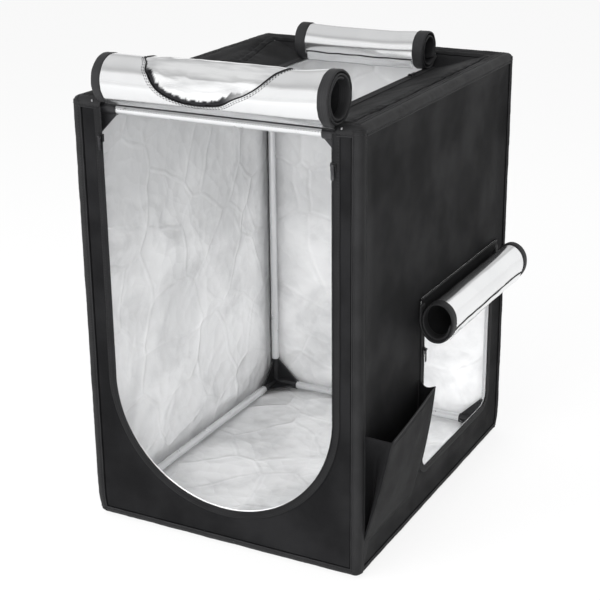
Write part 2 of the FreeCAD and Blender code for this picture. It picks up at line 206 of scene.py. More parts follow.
def past_hole(hole, a, b):
    """How far a point is outside a round-cornered hole, and the way out from its nearest edge."""
    from_a = a - (hole.low_a + hole.high_a) / 2
    from_b = b - (hole.low_b + hole.high_b) / 2
    past_a = abs(from_a) - (hole.high_a - hole.low_a) / 2 + hole.radius
    past_b = abs(from_b) - (hole.high_b - hole.low_b) / 2 + hole.radius
    if past_a > 0 and past_b > 0:
        reach = math.hypot(past_a, past_b)
        way = (past_a / reach, past_b / reach)
    else:
        reach = max(past_a, past_b)
        way = (1.0, 0.0) if past_a > past_b else (0.0, 1.0)
    return reach - hole.radius, Vector((math.copysign(way[0], from_a), math.copysign(way[1], from_b), 0))


def grown_hole(hole, grow, low_grow):
    """A hole grown sideways and downwards; its top stays where it is."""
    return hole._replace(
        low_a=hole.low_a - grow, high_a=hole.high_a + grow, low_b=hole.low_b - low_grow,
        radius=hole.radius + grow,
    )


def cut_hole(bm, hole, low_a, low_b):
    """Cut a hole in a flat cloth whose corner lies at low_a, low_b, with a clean edge."""
    shift = Vector((low_a, low_b, 0))

    def past(point):
        return past_hole(hole, point.x + low_a, point.y + low_b)

    gone = [face for face in bm.faces if past(face.calc_center_median())[0] < 0]
    edge = {point for face in gone for point in face.verts}
    bmesh.ops.delete(bm, geom=gone, context="FACES")
    uv = bm.loops.layers.uv.verify()
    for point in edge:
        if point.is_valid:
            distance, way = past(point.co)
            point.co -= way * distance
            for loop in point.link_loops:
                loop[uv].uv = point.co.xy * MM
    return bm


def add_stitches(bm, line, length, pitch=4.6, stitch=3.2, half_width=0.42):
    """A row of thread stitches along a line, which gives a point for each distance."""
    count = int(length / pitch)
    for index in range(count):
        start = line(index * pitch)
        end = line(index * pitch + stitch)
        run = end - start
        if run.length < 0.2:
            continue
        turn = run.to_track_quat("X", "Z").to_matrix().to_4x4()
        size = Matrix.Diagonal((run.length / 2, half_width, half_width, 1))
        place = Matrix.Translation((start + end) * MM / 2) @ turn @ size @ Matrix.Scale(MM, 4)
        bmesh.ops.create_icosphere(bm, subdivisions=1, radius=1.0, matrix=place)


def add_teeth(bm, line, length, pitch, size):
    """A row of zip teeth along a line, each a small block turned the line's way."""
    for index in range(int(length / pitch)):
        middle = line(index * pitch)
        run = line(index * pitch + pitch / 2) - middle
        turn = run.to_track_quat("X", "Z").to_matrix().to_4x4()
        block = Matrix.Diagonal((*size, 1)) @ Matrix.Scale(MM, 4)
        bmesh.ops.create_cube(bm, size=1.0, matrix=Matrix.Translation(middle * MM) @ turn @ block)


def welt_mesh(points, radius, closed=False):
    """A round welt along points in millimetres, as a bmesh."""
    curve = bpy.data.curves.new("welt", "CURVE")
    curve.dimensions = "3D"
    curve.bevel_depth = radius * MM
    curve.bevel_resolution = 2
    curve.use_fill_caps = True
    line = curve.splines.new("POLY")
    line.points.add(len(points) - 1)
    for point, place in zip(line.points, points):
        point.co = (*(place * MM), 1)
    line.use_cyclic_u = closed
    holder = bpy.data.objects.new("welt", curve)
    mesh = bpy.data.meshes.new_from_object(holder)
    bm = bmesh.new()
    bm.from_mesh(mesh)
    bpy.data.objects.remove(holder)
    bpy.data.curves.remove(curve)
    bpy.data.meshes.remove(mesh)
    bmesh.ops.remove_doubles(bm, verts=bm.verts, dist=0.00001)
    bmesh.ops.recalc_face_normals(bm, faces=bm.faces)
    return bm


# ---- Surface effects that the finishes share ----

def add(tree, kind, settings=None, **inputs):
    """Add a node, with its settings, and set or link its inputs by name."""
    made = tree.nodes.new("ShaderNode" + kind)
    for key, value in (settings or {}).items():
        setattr(made, key, value)
    for key, value in inputs.items():
        socket = made.inputs[key.replace("_", " ")]
        if isinstance(value, bpy.types.NodeSocket):
            tree.links.new(value, socket)
        else:
            socket.default_value = value
    return made


def sums(tree, operation, first, second=0.5, third=None):
    """The result of one sum on numbers or sockets."""
    made = tree.nodes.new("ShaderNodeMath")
    made.operation = operation
    for socket, value in zip(made.inputs, (first, second, third)):
        if isinstance(value, bpy.types.NodeSocket):
            tree.links.new(value, socket)
        elif value is not None:
            socket.default_value = value
    return made.outputs[0]


def spread(tree, value, low, high, to_low, to_high):
    """A value's range stretched to another one, and held inside it."""
    made = add(tree, "MapRange", {"interpolation_type": "SMOOTHSTEP"}, Value=value)
    made.inputs["From Min"].default_value = low
    made.inputs["From Max"].default_value = high
    for name, limit in (("To Min", to_low), ("To Max", to_high)):
        if isinstance(limit, bpy.types.NodeSocket):
            tree.links.new(limit, made.inputs[name])
        else:
            made.inputs[name].default_value = limit
    return made.outputs[0]


def tint(tree, share, first, second, kind="MIX"):
    """Two colours mixed by a share."""
    made = tree.nodes.new("ShaderNodeMix")
    made.data_type = "RGBA"
    made.blend_type = kind
    for index, value in ((0, share), (6, first), (7, second)):
        if isinstance(value, bpy.types.NodeSocket):
            tree.links.new(value, made.inputs[index])
        else:
            made.inputs[index].default_value = value
    return made.outputs[2]


def new_effect(name, inputs, outputs):
    """A node group with named inputs and outputs."""
    group = bpy.data.node_groups.new(name, "ShaderNodeTree")
    for key, value in inputs.items():
        kind = "NodeSocketColor" if isinstance(value, tuple) else "NodeSocketFloat"
        socket = group.interface.new_socket(key, in_out="INPUT", socket_type=kind)
        socket.default_value = value
    for key, kind in outputs.items():
        group.interface.new_socket(key, in_out="OUTPUT", socket_type="NodeSocket" + kind)
    entry = group.nodes.new("NodeGroupInput")
    result = group.nodes.new("NodeGroupOutput")
    return group, entry, result


def weave_effect():
    """Plain weave: threads that pass over and under each other, with faint fading; the thread tops are
    painted lighter than the painted shade between them.
    """
    group, entry, result = new_effect(
        "cloth_weave",
        {
            "Colour": (0.03, 0.03, 0.032, 1),
            "Worn colour": (0.06, 0.06, 0.064, 1), "Pitch": 0.001, "Fading": 0.5,
        },
        {"Colour": "Color", "Roughness": "Float", "Height": "Float"},
    )
    coords = add(group, "TexCoord")
    cloth = add(group, "SeparateXYZ", Vector=coords.outputs["UV"])
    warp = sums(group, "DIVIDE", cloth.outputs["X"], entry.outputs["Pitch"])
    weft = sums(group, "DIVIDE", cloth.outputs["Y"], entry.outputs["Pitch"])
    cells = sums(group, "ADD", sums(group, "FLOOR", warp), sums(group, "FLOOR", weft))
    over = sums(group, "PINGPONG", cells, 1.0)
    warp_round = sums(group, "PINGPONG", warp, 0.5)
    weft_round = sums(group, "PINGPONG", weft, 0.5)
    under = sums(group, "SUBTRACT", 1.0, over)
    warp_over = sums(group, "MULTIPLY", warp_round, over)
    threads = sums(group, "ADD", warp_over, sums(group, "MULTIPLY", weft_round, under))
    patch = add(group, "TexNoise", Vector=coords.outputs["Object"], Scale=9.0, Detail=3.0, Roughness=0.55)
    fleck = add(group, "TexNoise", Vector=coords.outputs["Object"], Scale=420.0, Detail=2.0)
    faded = spread(group, patch.outputs["Fac"], 0.35, 0.7, 0.0, 1.0)
    fade = sums(group, "MULTIPLY", faded, entry.outputs["Fading"])
    speck = spread(group, fleck.outputs["Fac"], 0.4, 0.7, 0.0, 0.16)
    # Painted shade: the thread tops lean to the lighter colour and the hollows between them stay dark.
    raised = sums(group, "MULTIPLY", threads, 0.35)
    share = sums(group, "ADD", sums(group, "ADD", fade, speck), raised)
    share = sums(group, "MINIMUM", share, 1.0)
    colour = tint(group, share, entry.outputs["Colour"], entry.outputs["Worn colour"])
    group.links.new(colour, result.inputs["Colour"])
    group.links.new(spread(group, patch.outputs["Fac"], 0.3, 0.7, 0.78, 0.62), result.inputs["Roughness"])
    group.links.new(threads, result.inputs["Height"])
    return group


def rib_effect():
    """Ribbed tape: fine cross ribs with a raised cord along each edge, their tops painted lighter than the
    painted shade in the hollows.
    """
    group, entry, result = new_effect(
        "tape_rib",
        {"Colour": (0.025, 0.025, 0.026, 1), "Rib colour": (0.06, 0.06, 0.062, 1), "Pitch": 0.0011},
        {"Colour": "Color", "Height": "Float"},
    )
    coords = add(group, "TexCoord")
    tape = add(group, "SeparateXYZ", Vector=coords.outputs["UV"])
    ribs = sums(group, "PINGPONG", sums(group, "DIVIDE", tape.outputs["Y"], entry.outputs["Pitch"]), 0.5)
    cords = sums(group, "PINGPONG", sums(group, "DIVIDE", tape.outputs["X"], entry.outputs["Pitch"]), 0.5)
    # Painted shade: the rib and cord tops lean to the lighter colour and the hollows between them stay dark.
    weave = sums(group, "ADD", sums(group, "MULTIPLY", ribs, 0.8), sums(group, "MULTIPLY", cords, 0.5))
    patch = add(group, "TexNoise", Vector=coords.outputs["Object"], Scale=22.0, Detail=3.0)
    share = sums(group, "MULTIPLY", weave, spread(group, patch.outputs["Fac"], 0.3, 0.7, 0.5, 1.3))
    colour = tint(group, share, entry.outputs["Colour"], entry.outputs["Rib colour"])
    group.links.new(colour, result.inputs["Colour"])
    group.links.new(weave, result.inputs["Height"])
    return group


def foil_effect():
    """Foil laminate: painted shade as soft blotches and as darkening towards the top, small crumples and
    faint creases.
    """
    group, entry, result = new_effect(
        "foil_crumple",
        {
            "Bright": (0.86, 0.865, 0.87, 1), "Painted shade colour": (0.6, 0.605, 0.61, 1),
            "Crease scale": 16.0, "Painted shading": 1.0,
        },
        {"Colour": "Color", "Roughness": "Float", "Height": "Float"},
    )
    coords = add(group, "TexCoord")
    bend = add(group, "TexNoise", Vector=coords.outputs["Object"], Scale=7.0, Detail=2.0)
    push = add(group, "VectorMath", {"operation": "SCALE"}, Scale=0.05)
    group.links.new(bend.outputs["Color"], push.inputs[0])
    lie = add(group, "VectorMath", {"operation": "ADD"})
    group.links.new(coords.outputs["Object"], lie.inputs[0])
    group.links.new(push.outputs[0], lie.inputs[1])
    facets = add(group, "TexVoronoi", {"feature": "F1"}, Vector=lie.outputs[0])
    group.links.new(entry.outputs["Crease scale"], facets.inputs["Scale"])
    crinkle = add(group, "TexVoronoi", {"feature": "F1"}, Vector=lie.outputs[0])
    group.links.new(sums(group, "MULTIPLY", entry.outputs["Crease scale"], 3.4), crinkle.inputs["Scale"])
    blotch = add(
        group, "TexNoise", Vector=lie.outputs[0], Scale=11.0, Detail=4.0, Roughness=0.6, Distortion=0.6,
    )
    # Painted shade: crumple facets drawn as lighter and darker blotches in the colour.
    cloudy = spread(group, blotch.outputs["Fac"], 0.4, 0.72, 0.0, 1.0)
    broad = add(group, "TexNoise", Vector=coords.outputs["Object"], Scale=4.6, Detail=3.0, Distortion=0.3)
    upward = add(group, "SeparateXYZ", Vector=coords.outputs["Object"])
    # Painted shade: the foil is coloured darker higher up and in broad soft patches.
    high = spread(group, upward.outputs["Z"], 0.2, 0.6, 0.0, 0.8)
    dusk = sums(group, "ADD", spread(group, broad.outputs["Fac"], 0.44, 0.64, 0.0, 0.5), high)
    mottled = sums(group, "MINIMUM", sums(group, "ADD", sums(group, "MULTIPLY", cloudy, 0.5), dusk), 1.2)
    share = sums(group, "MULTIPLY", mottled, entry.outputs["Painted shading"])
    colour = tint(group, share, entry.outputs["Bright"], entry.outputs["Painted shade colour"])
    group.links.new(colour, result.inputs["Colour"])
    group.links.new(spread(group, blotch.outputs["Fac"], 0.35, 0.7, 0.3, 0.46), result.inputs["Roughness"])
    lines = add(group, "TexVoronoi", {"feature": "DISTANCE_TO_EDGE"}, Vector=lie.outputs[0])
    group.links.new(sums(group, "MULTIPLY", entry.outputs["Crease scale"], 0.7), lines.inputs["Scale"])
    ridge = spread(group, lines.outputs["Distance"], 0.0, 0.05, 0.14, 0.0)
    small = sums(group, "MULTIPLY", crinkle.outputs["Distance"], 0.3)
    lumps = sums(group, "ADD", facets.outputs["Distance"], small)
    group.links.new(sums(group, "ADD", lumps, ridge), result.inputs["Height"])
    return group


def grain_effect():
    """The fine grain of moulded plastic or a baked coat, with rubbed, paler patches."""
    group, entry, result = new_effect(
        "coat_grain",
        {
            "Colour": (0.03, 0.03, 0.032, 1), "Rubbed": (0.08, 0.08, 0.084, 1),
            "Grain scale": 900.0, "Rub": 0.4,
        },
        {"Colour": "Color", "Roughness": "Float", "Height": "Float"},
    )
    coords = add(group, "TexCoord")
    grain = add(group, "TexNoise", Vector=coords.outputs["Object"], Detail=2.0)
    group.links.new(entry.outputs["Grain scale"], grain.inputs["Scale"])
    rubbed = add(group, "TexNoise", Vector=coords.outputs["Object"], Scale=34.0, Detail=4.0, Roughness=0.6)
    worn = spread(group, rubbed.outputs["Fac"], 0.45, 0.75, 0.0, 1.0)
    share = sums(group, "MULTIPLY", worn, entry.outputs["Rub"])
    colour = tint(group, share, entry.outputs["Colour"], entry.outputs["Rubbed"])
    group.links.new(colour, result.inputs["Colour"])
    group.links.new(spread(group, rubbed.outputs["Fac"], 0.35, 0.7, 0.42, 0.26), result.inputs["Roughness"])
    group.links.new(grain.outputs["Fac"], result.inputs["Height"])
    return group


def film_effect():
    """Clear film drawn tight: bright crumples with grey streaks as painted reflection, and painted shade
    where its shade says.
    """
    group, entry, result = new_effect(
        "film_crumple",
        {"Bright": (0.93, 0.935, 0.94, 1), "Painted shade colour": (0.42, 0.425, 0.435, 1), "Painted seam shade": (0.03, 0.03, 0.032, 1)},
        {"Colour": "Color", "Height": "Float"},
    )
    coords = add(group, "TexCoord")
    shade = add(group, "Attribute", {"attribute_name": "shade"})
    lie = add(group, "Mapping", Vector=coords.outputs["Object"], Scale=(0.5, 2.0, 2.0))
    cloud = add(
        group, "TexNoise", Vector=lie.outputs[0], Scale=18.0, Detail=3.0, Roughness=0.5, Distortion=0.2,
    )
    folds = add(group, "TexNoise", Vector=lie.outputs[0], Scale=30.0, Detail=3.0, Distortion=0.3)
    # Painted reflection: crumple streaks drawn in bright and grey in the colour.
    cloudy = spread(group, cloud.outputs["Fac"], 0.42, 0.72, 0.0, 0.6)
    film = tint(group, cloudy, entry.outputs["Bright"], entry.outputs["Painted shade colour"])
    group.links.new(tint(group, shade.outputs["Fac"], film, entry.outputs["Painted seam shade"]), result.inputs["Colour"])
    group.links.new(folds.outputs["Fac"], result.inputs["Height"])
    return group


weave = weave_effect()
rib = rib_effect()
foil = foil_effect()
grain = grain_effect()


# ---- Finishes ----

def new_finish(name, effect, values, relief, relief_depth, **shader_values):
    """A finish: one Principled shader fed by one effect, with the effect's height as relief."""
    finish = bpy.data.materials.new(name)
    finish.use_nodes = True
    tree = finish.node_tree
    shader = tree.nodes["Principled BSDF"]
    made = tree.nodes.new("ShaderNodeGroup")
    made.node_tree = effect
    for key, value in values.items():
        made.inputs[key].default_value = value
    tree.links.new(made.outputs["Colour"], shader.inputs["Base Color"])
    if "Roughness" in made.outputs and "Roughness" not in shader_values:
        tree.links.new(made.outputs["Roughness"], shader.inputs["Roughness"])
    bump = add(tree, "Bump", Strength=relief, Distance=relief_depth, Height=made.outputs["Height"])
    tree.links.new(bump.outputs["Normal"], shader.inputs["Normal"])
    for key, value in shader_values.items():
        shader.inputs[key.replace("_", " ")].default_value = value
    return finish


def cloth_finish(name, colour, worn, fading):
    # The worn colour serves the cloth's real fading and also the painted light on its thread tops.
    return new_finish(
        name, weave, {"Colour": colour, "Worn colour": worn, "Pitch": 0.0011, "Fading": fading},
        0.5, 0.0004, Specular_IOR_Level=0.12, Sheen_Weight=0.009, Sheen_Roughness=0.4,
    )


def tape_finish(name, colour, ridge, pitch, roughness):
    # The ridge colour is the painted highlight on the ribs.
    return new_finish(
        name, rib, {"Colour": colour, "Rib colour": ridge, "Pitch": pitch}, 0.45, 0.0004,
        Roughness=roughness, Specular_IOR_Level=0.2, Sheen_Weight=0.012, Sheen_Roughness=0.4,
    )


oxford = cloth_finish("oxford_cloth", (0.0042, 0.0042, 0.0046, 1), (0.0125, 0.0125, 0.0134, 1), 0.6)
pocket_oxford = cloth_finish("pocket_cloth", (0.0048, 0.0048, 0.0052, 1), (0.012, 0.012, 0.0128, 1), 0.4)
flap_oxford = cloth_finish("flap_cloth", (0.006, 0.006, 0.0064, 1), (0.015, 0.015, 0.016, 1), 0.4)
binding = tape_finish("binding_cloth", (0.008, 0.008, 0.0085, 1), (0.027, 0.027, 0.028, 1), 0.0012, 0.6)
hem_binding = tape_finish("hem_cloth", (0.01, 0.01, 0.0105, 1), (0.036, 0.036, 0.038, 1), 0.0012, 0.54)
zip_cloth = tape_finish("zip_cloth", (0.005, 0.005, 0.0054, 1), (0.017, 0.017, 0.018, 1), 0.0008, 0.66)
lining_foil = new_finish(
    "lining_foil", foil,
    {"Bright": (0.985, 0.987, 0.99, 1), "Painted shade colour": (0.69, 0.694, 0.7, 1), "Crease scale": 12.0},
    0.8, 0.007, Metallic=0.3,
)
# The rolls' foil takes half the painted shade.
roll_foil = new_finish(
    "roll_foil", foil,
    {"Bright": (0.9, 0.905, 0.91, 1), "Painted shade colour": (0.74, 0.745, 0.755, 1), "Crease scale": 9.0, "Painted shading": 0.5},
    0.12, 0.003, Metallic=0.95, Roughness=0.18,
)
film_crumple = film_effect()
window_film = new_finish(
    "window_film", film_crumple, {}, 0.32, 0.003, Metallic=0.95, Roughness=0.1, Specular_IOR_Level=0.2,
)
tube_coat = new_finish(
    "tube_coat", grain,
    {"Colour": (0.74, 0.745, 0.755, 1), "Rubbed": (0.64, 0.645, 0.655, 1), "Grain scale": 700.0},
    0.08, 0.0003, Metallic=0.8, Coat_Weight=0.3, Coat_Roughness=0.15,
)
connector_plastic = new_finish(
    "connector_plastic", grain, {"Colour": (0.012, 0.012, 0.013, 1), "Rubbed": (0.045, 0.045, 0.048, 1)},
    0.25, 0.0004, Specular_IOR_Level=0.35,
)
slider_coat = new_finish(
    "slider_coat", grain, {"Colour": (0.016, 0.016, 0.017, 1), "Rubbed": (0.3, 0.3, 0.31, 1), "Rub": 0.22},
    0.15, 0.0002, Metallic=0.7,
)
pull_coat = new_finish(
    "pull_coat", grain, {"Colour": (0.02, 0.02, 0.022, 1), "Rubbed": (0.34, 0.34, 0.35, 1), "Rub": 0.3},
    0.15, 0.0002, Metallic=0.7,
)
stop_metal = new_finish(
    "zip_stop_metal", grain, {"Colour": (0.5, 0.5, 0.51, 1), "Rubbed": (0.8, 0.8, 0.81, 1), "Rub": 0.8},
    0.2, 0.0002, Metallic=1.0,
)
tooth_plastic = new_finish(
    "tooth_plastic", grain, {"Colour": (0.01, 0.01, 0.011, 1), "Rubbed": (0.035, 0.035, 0.037, 1)},
    0.1, 0.0002, Specular_IOR_Level=0.3,
)
black_thread = new_finish(
    "black_thread", grain,
    {"Colour": (0.012, 0.012, 0.013, 1), "Rubbed": (0.05, 0.05, 0.052, 1), "Grain scale": 2400.0},
    0.4, 0.0003, Roughness=0.6, Specular_IOR_Level=0.3,
)
grey_thread = new_finish(
    "grey_thread", grain,
    {"Colour": (0.02, 0.02, 0.021, 1), "Rubbed": (0.1, 0.1, 0.104, 1), "Grain scale": 2400.0},
    0.4, 0.0003, Roughness=0.6,
)
welt_cloth = new_finish(
    "welt_cloth", grain,
    {"Colour": (0.006, 0.006, 0.0065, 1), "Rubbed": (0.03, 0.03, 0.032, 1), "Grain scale": 1500.0},
    0.3, 0.0003, Roughness=0.5, Specular_IOR_Level=0.25,
)
# Near-black and barely shiny: painted shade laid as cords in the seam grooves.
painted_seam_shade = new_finish(
    "painted_seam_shade", grain,
    {"Colour": (0.0015, 0.0015, 0.0016, 1), "Rubbed": (0.004, 0.004, 0.0042, 1), "Grain scale": 1500.0},
    0.2, 0.0003, Roughness=0.8, Specular_IOR_Level=0.05,
)


# ---- The cover's walls ----

edge_high = corners("bottom_edge_binding")[1]
half_width = edge_high.x
half_depth = edge_high.y
height = corners("top_edge_binding")[1].z
round_edge = corners("front_panel")[0].z
panel_high = corners("right_panel")[1]
recess = half_width - panel_high.x
roof_high = corners("roof_panel")[1]
flat_x = half_width - round_edge
flat_y = half_depth - round_edge
flat_low = round_edge
flat_high = height - round_edge

tape_width = 10.0
tape_lap = 3.0
front_tape_low, front_tape_high = corners("front_zip_tape")
side_tape_low, side_tape_high = corners("side_zip_tape")
top_tape_low, top_tape_high = corners("top_zip_tape")
door_reach = front_tape_high.x - tape_width
door_bottom = front_tape_low.z + tape_width
door_hole = Hole(-door_reach, door_reach, door_bottom, 2 * height, door_reach)
side_hole = Hole(
    side_tape_low.y + tape_width, side_tape_high.y - tape_width,
    side_tape_low.z + tape_width, side_tape_high.z, 25.0,
)
roof_hole = Hole(
    top_tape_low.x + tape_width, top_tape_high.x - tape_width,
    top_tape_low.y + tape_width, top_tape_high.y, 30.0,
)
lip_top = top_tape_high.z
sag_border = 36.0
edge_swell = 6.5
swell_reach = 46
swell_foot = -30
lining_tuck = 6.0
panel_level = -recess - 0.9
lining_level = -recess - 2.6
tape_level = -recess + 0.6


def on_front(a, b, out):
    return Vector((a, -half_depth - out, b))


def on_rear(a, b, out):
    return Vector((a, half_depth + out, b))


def on_left(a, b, out):
    return Vector((-half_width - out, a, b))


def on_right(a, b, out):
    return Vector((half_width + out, a, b))


def on_floor(a, b, out):
    return Vector((a, b, -out))


def swollen(point):
    """A place on the cover, pushed outwards where the cloth stands round the frame's edges."""
    gaps = [half_width - abs(point.x), half_depth - abs(point.y), min(point.z, height - point.z)]
    push = ease(swell_reach, 2, sorted(gaps)[1]) * ease(swell_foot, swell_reach, point.z)
    if point.y < 0 and point.z > height / 2:
        push *= ease(door_reach + 4, door_reach + 26, abs(point.x))
    x = math.copysign(edge_swell * push * ease(swell_reach, 0, gaps[0]), point.x)
    y = math.copysign(edge_swell * push * ease(swell_reach, 0, gaps[1]), point.y)
    z = 0.6 * edge_swell * push * ease(swell_reach, 0, height - point.z)
    return point + Vector((x, y, z))


def roof_sag(a, b):
    """How far the roof hangs below its border at a place."""
    slope_x = (abs(a) - top_tape_high.x) / (half_width - sag_border - top_tape_high.x)
    if b < top_tape_low.y:
        slope_y = (top_tape_low.y - b) / (half_depth - sag_border + top_tape_low.y)
    else:
        slope_y = (b - top_tape_high.y) / (half_depth - sag_border - top_tape_high.y)
    fall = 1 - min(1.0, max(0.0, slope_x, slope_y))
    return (roof_high.z - lip_top) * (0.5 * fall + 0.5 * ease(0, 1, fall))


def seam_inset(a, b):
    """How far the roof's border seam lies inside the edge; it strays further in at the left."""
    return sag_border - 5 + 32 * ease(-80, -190, a) * ease(285, 80, b) * ease(-250, -120, b)


def roof_puff(a, b):
    """The soft roll of cloth between the roof's edge and its border seam."""
    inside = min(half_width - abs(a), half_depth - abs(b))
    full = math.sin(math.pi * min(1.0, max(0.0, (inside - round_edge) / (sag_border - round_edge))))
    from_seam = inside - seam_inset(a, b)
    ridge = math.exp(-(from_seam / 3.0) ** 2)
    grooves = math.exp(-((from_seam - 6.5) / 2.6) ** 2) + math.exp(-((from_seam + 6.5) / 2.6) ** 2)
    gathers = math.exp(-(from_seam / 15) ** 2) * waver((a + b) / 0.9, (a - b) / 0.9, 8, 17)
    return 2.2 * full * (1 + 0.9 * waver(a, b, 3, 55)) + 1.0 * ridge - 1.9 * grooves + 1.5 * gathers


def on_roof(a, b, out):
    return Vector((a, b, height + out - roof_sag(a, b)))


def swell(a, b, reach_a, low_b, high_b, seed, hole=None):
    """How far a panel's cloth stands out: it is flat at its seams and soft between them."""
    from_seam = min(reach_a - abs(a), b - low_b, high_b - b)
    freedom = ease(0, 110, from_seam)
    pucker = 0.45 * math.exp(-max(0.0, from_seam) / 10) * waver(a, b, seed, 9)
    if hole:
        freedom *= ease(-5, 70, past_hole(hole, a, b)[0])
    drape = waver(0.64 * a + 0.77 * b, (0.77 * a - 0.64 * b) / 3.2, seed + 40, 78)
    return freedom * (3.2 * waver(a, b, seed, 170) + 0.6 * drape + 0.35 * waver(a, b, seed + 5, 34)) + pucker


Wall = namedtuple("Wall", "place reach_a low_b high_b seed hole")

front_wall = Wall(on_front, flat_x, flat_low, flat_high, 11, door_hole)
rear_wall = Wall(on_rear, flat_x, flat_low, flat_high, 23, None)
left_wall = Wall(on_left, flat_y, flat_low, flat_high, 37, None)
right_wall = Wall(on_right, flat_y, flat_low, flat_high, 53, side_hole)
floor_wall = Wall(on_floor, flat_x, -flat_y, flat_y, 71, None)
roof_wall = Wall(on_roof, flat_x, -flat_y, flat_y, 89, roof_hole)


def wall_point(wall, a, b, out):
    """A point on a wall's cloth, a distance out from the cloth's own level."""
    lift = swell(a, b, wall.reach_a, wall.low_b, wall.high_b, wall.seed, wall.hole)
    if wall is roof_wall:
        lift = 0.5 * lift + roof_puff(a, b)
    if wall is floor_wall:
        lift = 0.2 * lift - 0.4
    return swollen(wall.place(a, b, out + lift))


def make_panel(name, wall, stands_for, tuck=2.0, cell=6.0):
    """One fabric panel, tucked under the bindings round it."""
    low_a = -wall.reach_a - tuck
    low_b = wall.low_b - tuck
    bm = cut_cloth(-2 * low_a, wall.high_b - wall.low_b + 2 * tuck, cell)
    if wall.hole:
        cut_hole(bm, grown_hole(wall.hole, tape_lap, tape_lap), low_a, low_b)
    lay_cloth(bm, lambda a, b: wall_point(wall, a + low_a, b + low_b, panel_level))
    return show(name, bm, oxford, "tent", stands_for, thick=1.4)


def make_lining(name, wall, stands_for, depth=4.0, cell=7.0, rim=1.2, low_rim=1.2):
    """One foil lining, slack behind its panel and caught at the seams."""
    low_a = -wall.reach_a - lining_tuck
    low_b = wall.low_b - lining_tuck

    def place(a, b):
        a += low_a
        b += low_b
        from_seam = min(wall.reach_a + lining_tuck - abs(a), b - low_b, wall.high_b + lining_tuck - b)
        slack = ease(0, 70, from_seam)
        if wall.hole:
            slack *= ease(0, 60, past_hole(wall.hole, a, b)[0])
        inward = slack * depth * (0.7 + creases(a, b, wall.seed + 100))
        tight = 0.35 * waver(a, b, wall.seed, 16)
        sunk = wall_point(wall, a, b, lining_level)
        return sunk + (wall.place(0, 0, -max(-0.5, inward) + tight) - wall.place(0, 0, 0))

    bm = cut_cloth(-2 * low_a, wall.high_b - wall.low_b + 2 * lining_tuck, cell)
    if wall.hole:
        cut_hole(bm, grown_hole(wall.hole, -rim, -low_rim), low_a, low_b)
    lay_cloth(bm, place)
    return show(name, bm, lining_foil, "tent", stands_for, thick=0.5)


front_panel = make_panel("front_cloth", front_wall, ["front_panel"])
rear_panel = make_panel("rear_cloth", rear_wall, ["rear_panel"])
left_panel = make_panel("left_cloth", left_wall, ["left_panel"])
right_panel = make_panel("right_cloth", right_wall, ["right_panel"])
floor_panel = make_panel("floor_cloth", floor_wall, ["floor_panel"])
roof_panel = make_panel("roof_cloth", roof_wall, ["roof_panel"], cell=3.0)
front_foil = make_lining("front_foil", front_wall, ["front_lining"], depth=1.0, rim=-1.0, low_rim=4.0)
rear_foil = make_lining("rear_foil", rear_wall, ["rear_lining"])
left_foil = make_lining("left_foil", left_wall, ["left_lining"])
right_foil = make_lining("right_foil", right_wall, ["right_lining"])
floor_foil = make_lining("floor_foil", floor_wall, ["floor_lining"], depth=3.0)
roof_foil = make_lining("roof_foil", roof_wall, ["roof_lining"], depth=1.5)


# ---- Edge bindings ----

binding_lip = 3.0
binding_thick = 1.0
binding_cell = 4.0
lip_sink = 0.7
door_seam_drop = 4.0


def binding_profile(across):
    """Where a binding's cloth lies: its reach along each wall and its way out, from the edge's core."""
    curve = round_edge * math.pi / 2
    radius = round_edge - binding_thick / 2
    if across < binding_lip:
        lift = ease(0, binding_lip, across)
        return (radius - lip_sink * (1 - lift), across - binding_lip)
    if across > binding_lip + curve:
        past = across - binding_lip - curve
        lift = ease(binding_lip, 0, past)
        return (-past, radius - lip_sink * (1 - lift))
    angle = (across - binding_lip) / round_edge
    return (radius * math.cos(angle), radius * math.sin(angle))


def bulged_profile(across, bulge):
    """The binding's profile, pushed out from the edge's core."""
    sideways, deep = binding_profile(across)
    reach = math.hypot(max(sideways, 0), max(deep, 0)) or 1.0
    return sideways + bulge * max(sideways, 0) / reach, deep + bulge * max(deep, 0) / reach


def seam_waver(along, across, seed):
    """The small unevenness that stitching pulls into a binding."""
    return 0.5 * waver(along, seed, across, 28) + 0.3 * waver(along, seed + 3, across, 8)


corner_run = round_edge * math.pi / 2


def ring_place(along):
    """A place round the cover's core rectangle, and the way out there, which turns at the corners."""
    sides = [2 * flat_x, 2 * flat_y] * 2
    starts = [(-flat_x, -flat_y), (flat_x, -flat_y), (flat_x, flat_y), (-flat_x, flat_y)]
    for index, (side, start) in enumerate(zip(sides, starts)):
        heading = index * math.pi / 2
        if along <= side:
            forward = ahead(heading)
            place = (start[0] + forward[0] * along, start[1] + forward[1] * along)
            return place, ahead(heading - math.pi / 2)
        along -= side
        if along <= corner_run:
            end = starts[(index + 1) % 4]
            return end, ahead(heading - math.pi / 2 + along / round_edge)
        along -= corner_run
    return starts[0], ahead(-math.pi / 2)


ring_length = 4 * (flat_x + flat_y) + 4 * corner_run
profile_length = corner_run + 2 * binding_lip


def ring_point(top, across, along, out=0.0):
    """A point on the top or bottom ring of binding."""
    place, way = ring_place(along)
    sideways, upward = bulged_profile(across, seam_waver(along, across, 5 if top else 60) + out)
    z = flat_high + upward if top else flat_low - upward
    return swollen(Vector((place[0] + way[0] * sideways, place[1] + way[1] * sideways, z)))


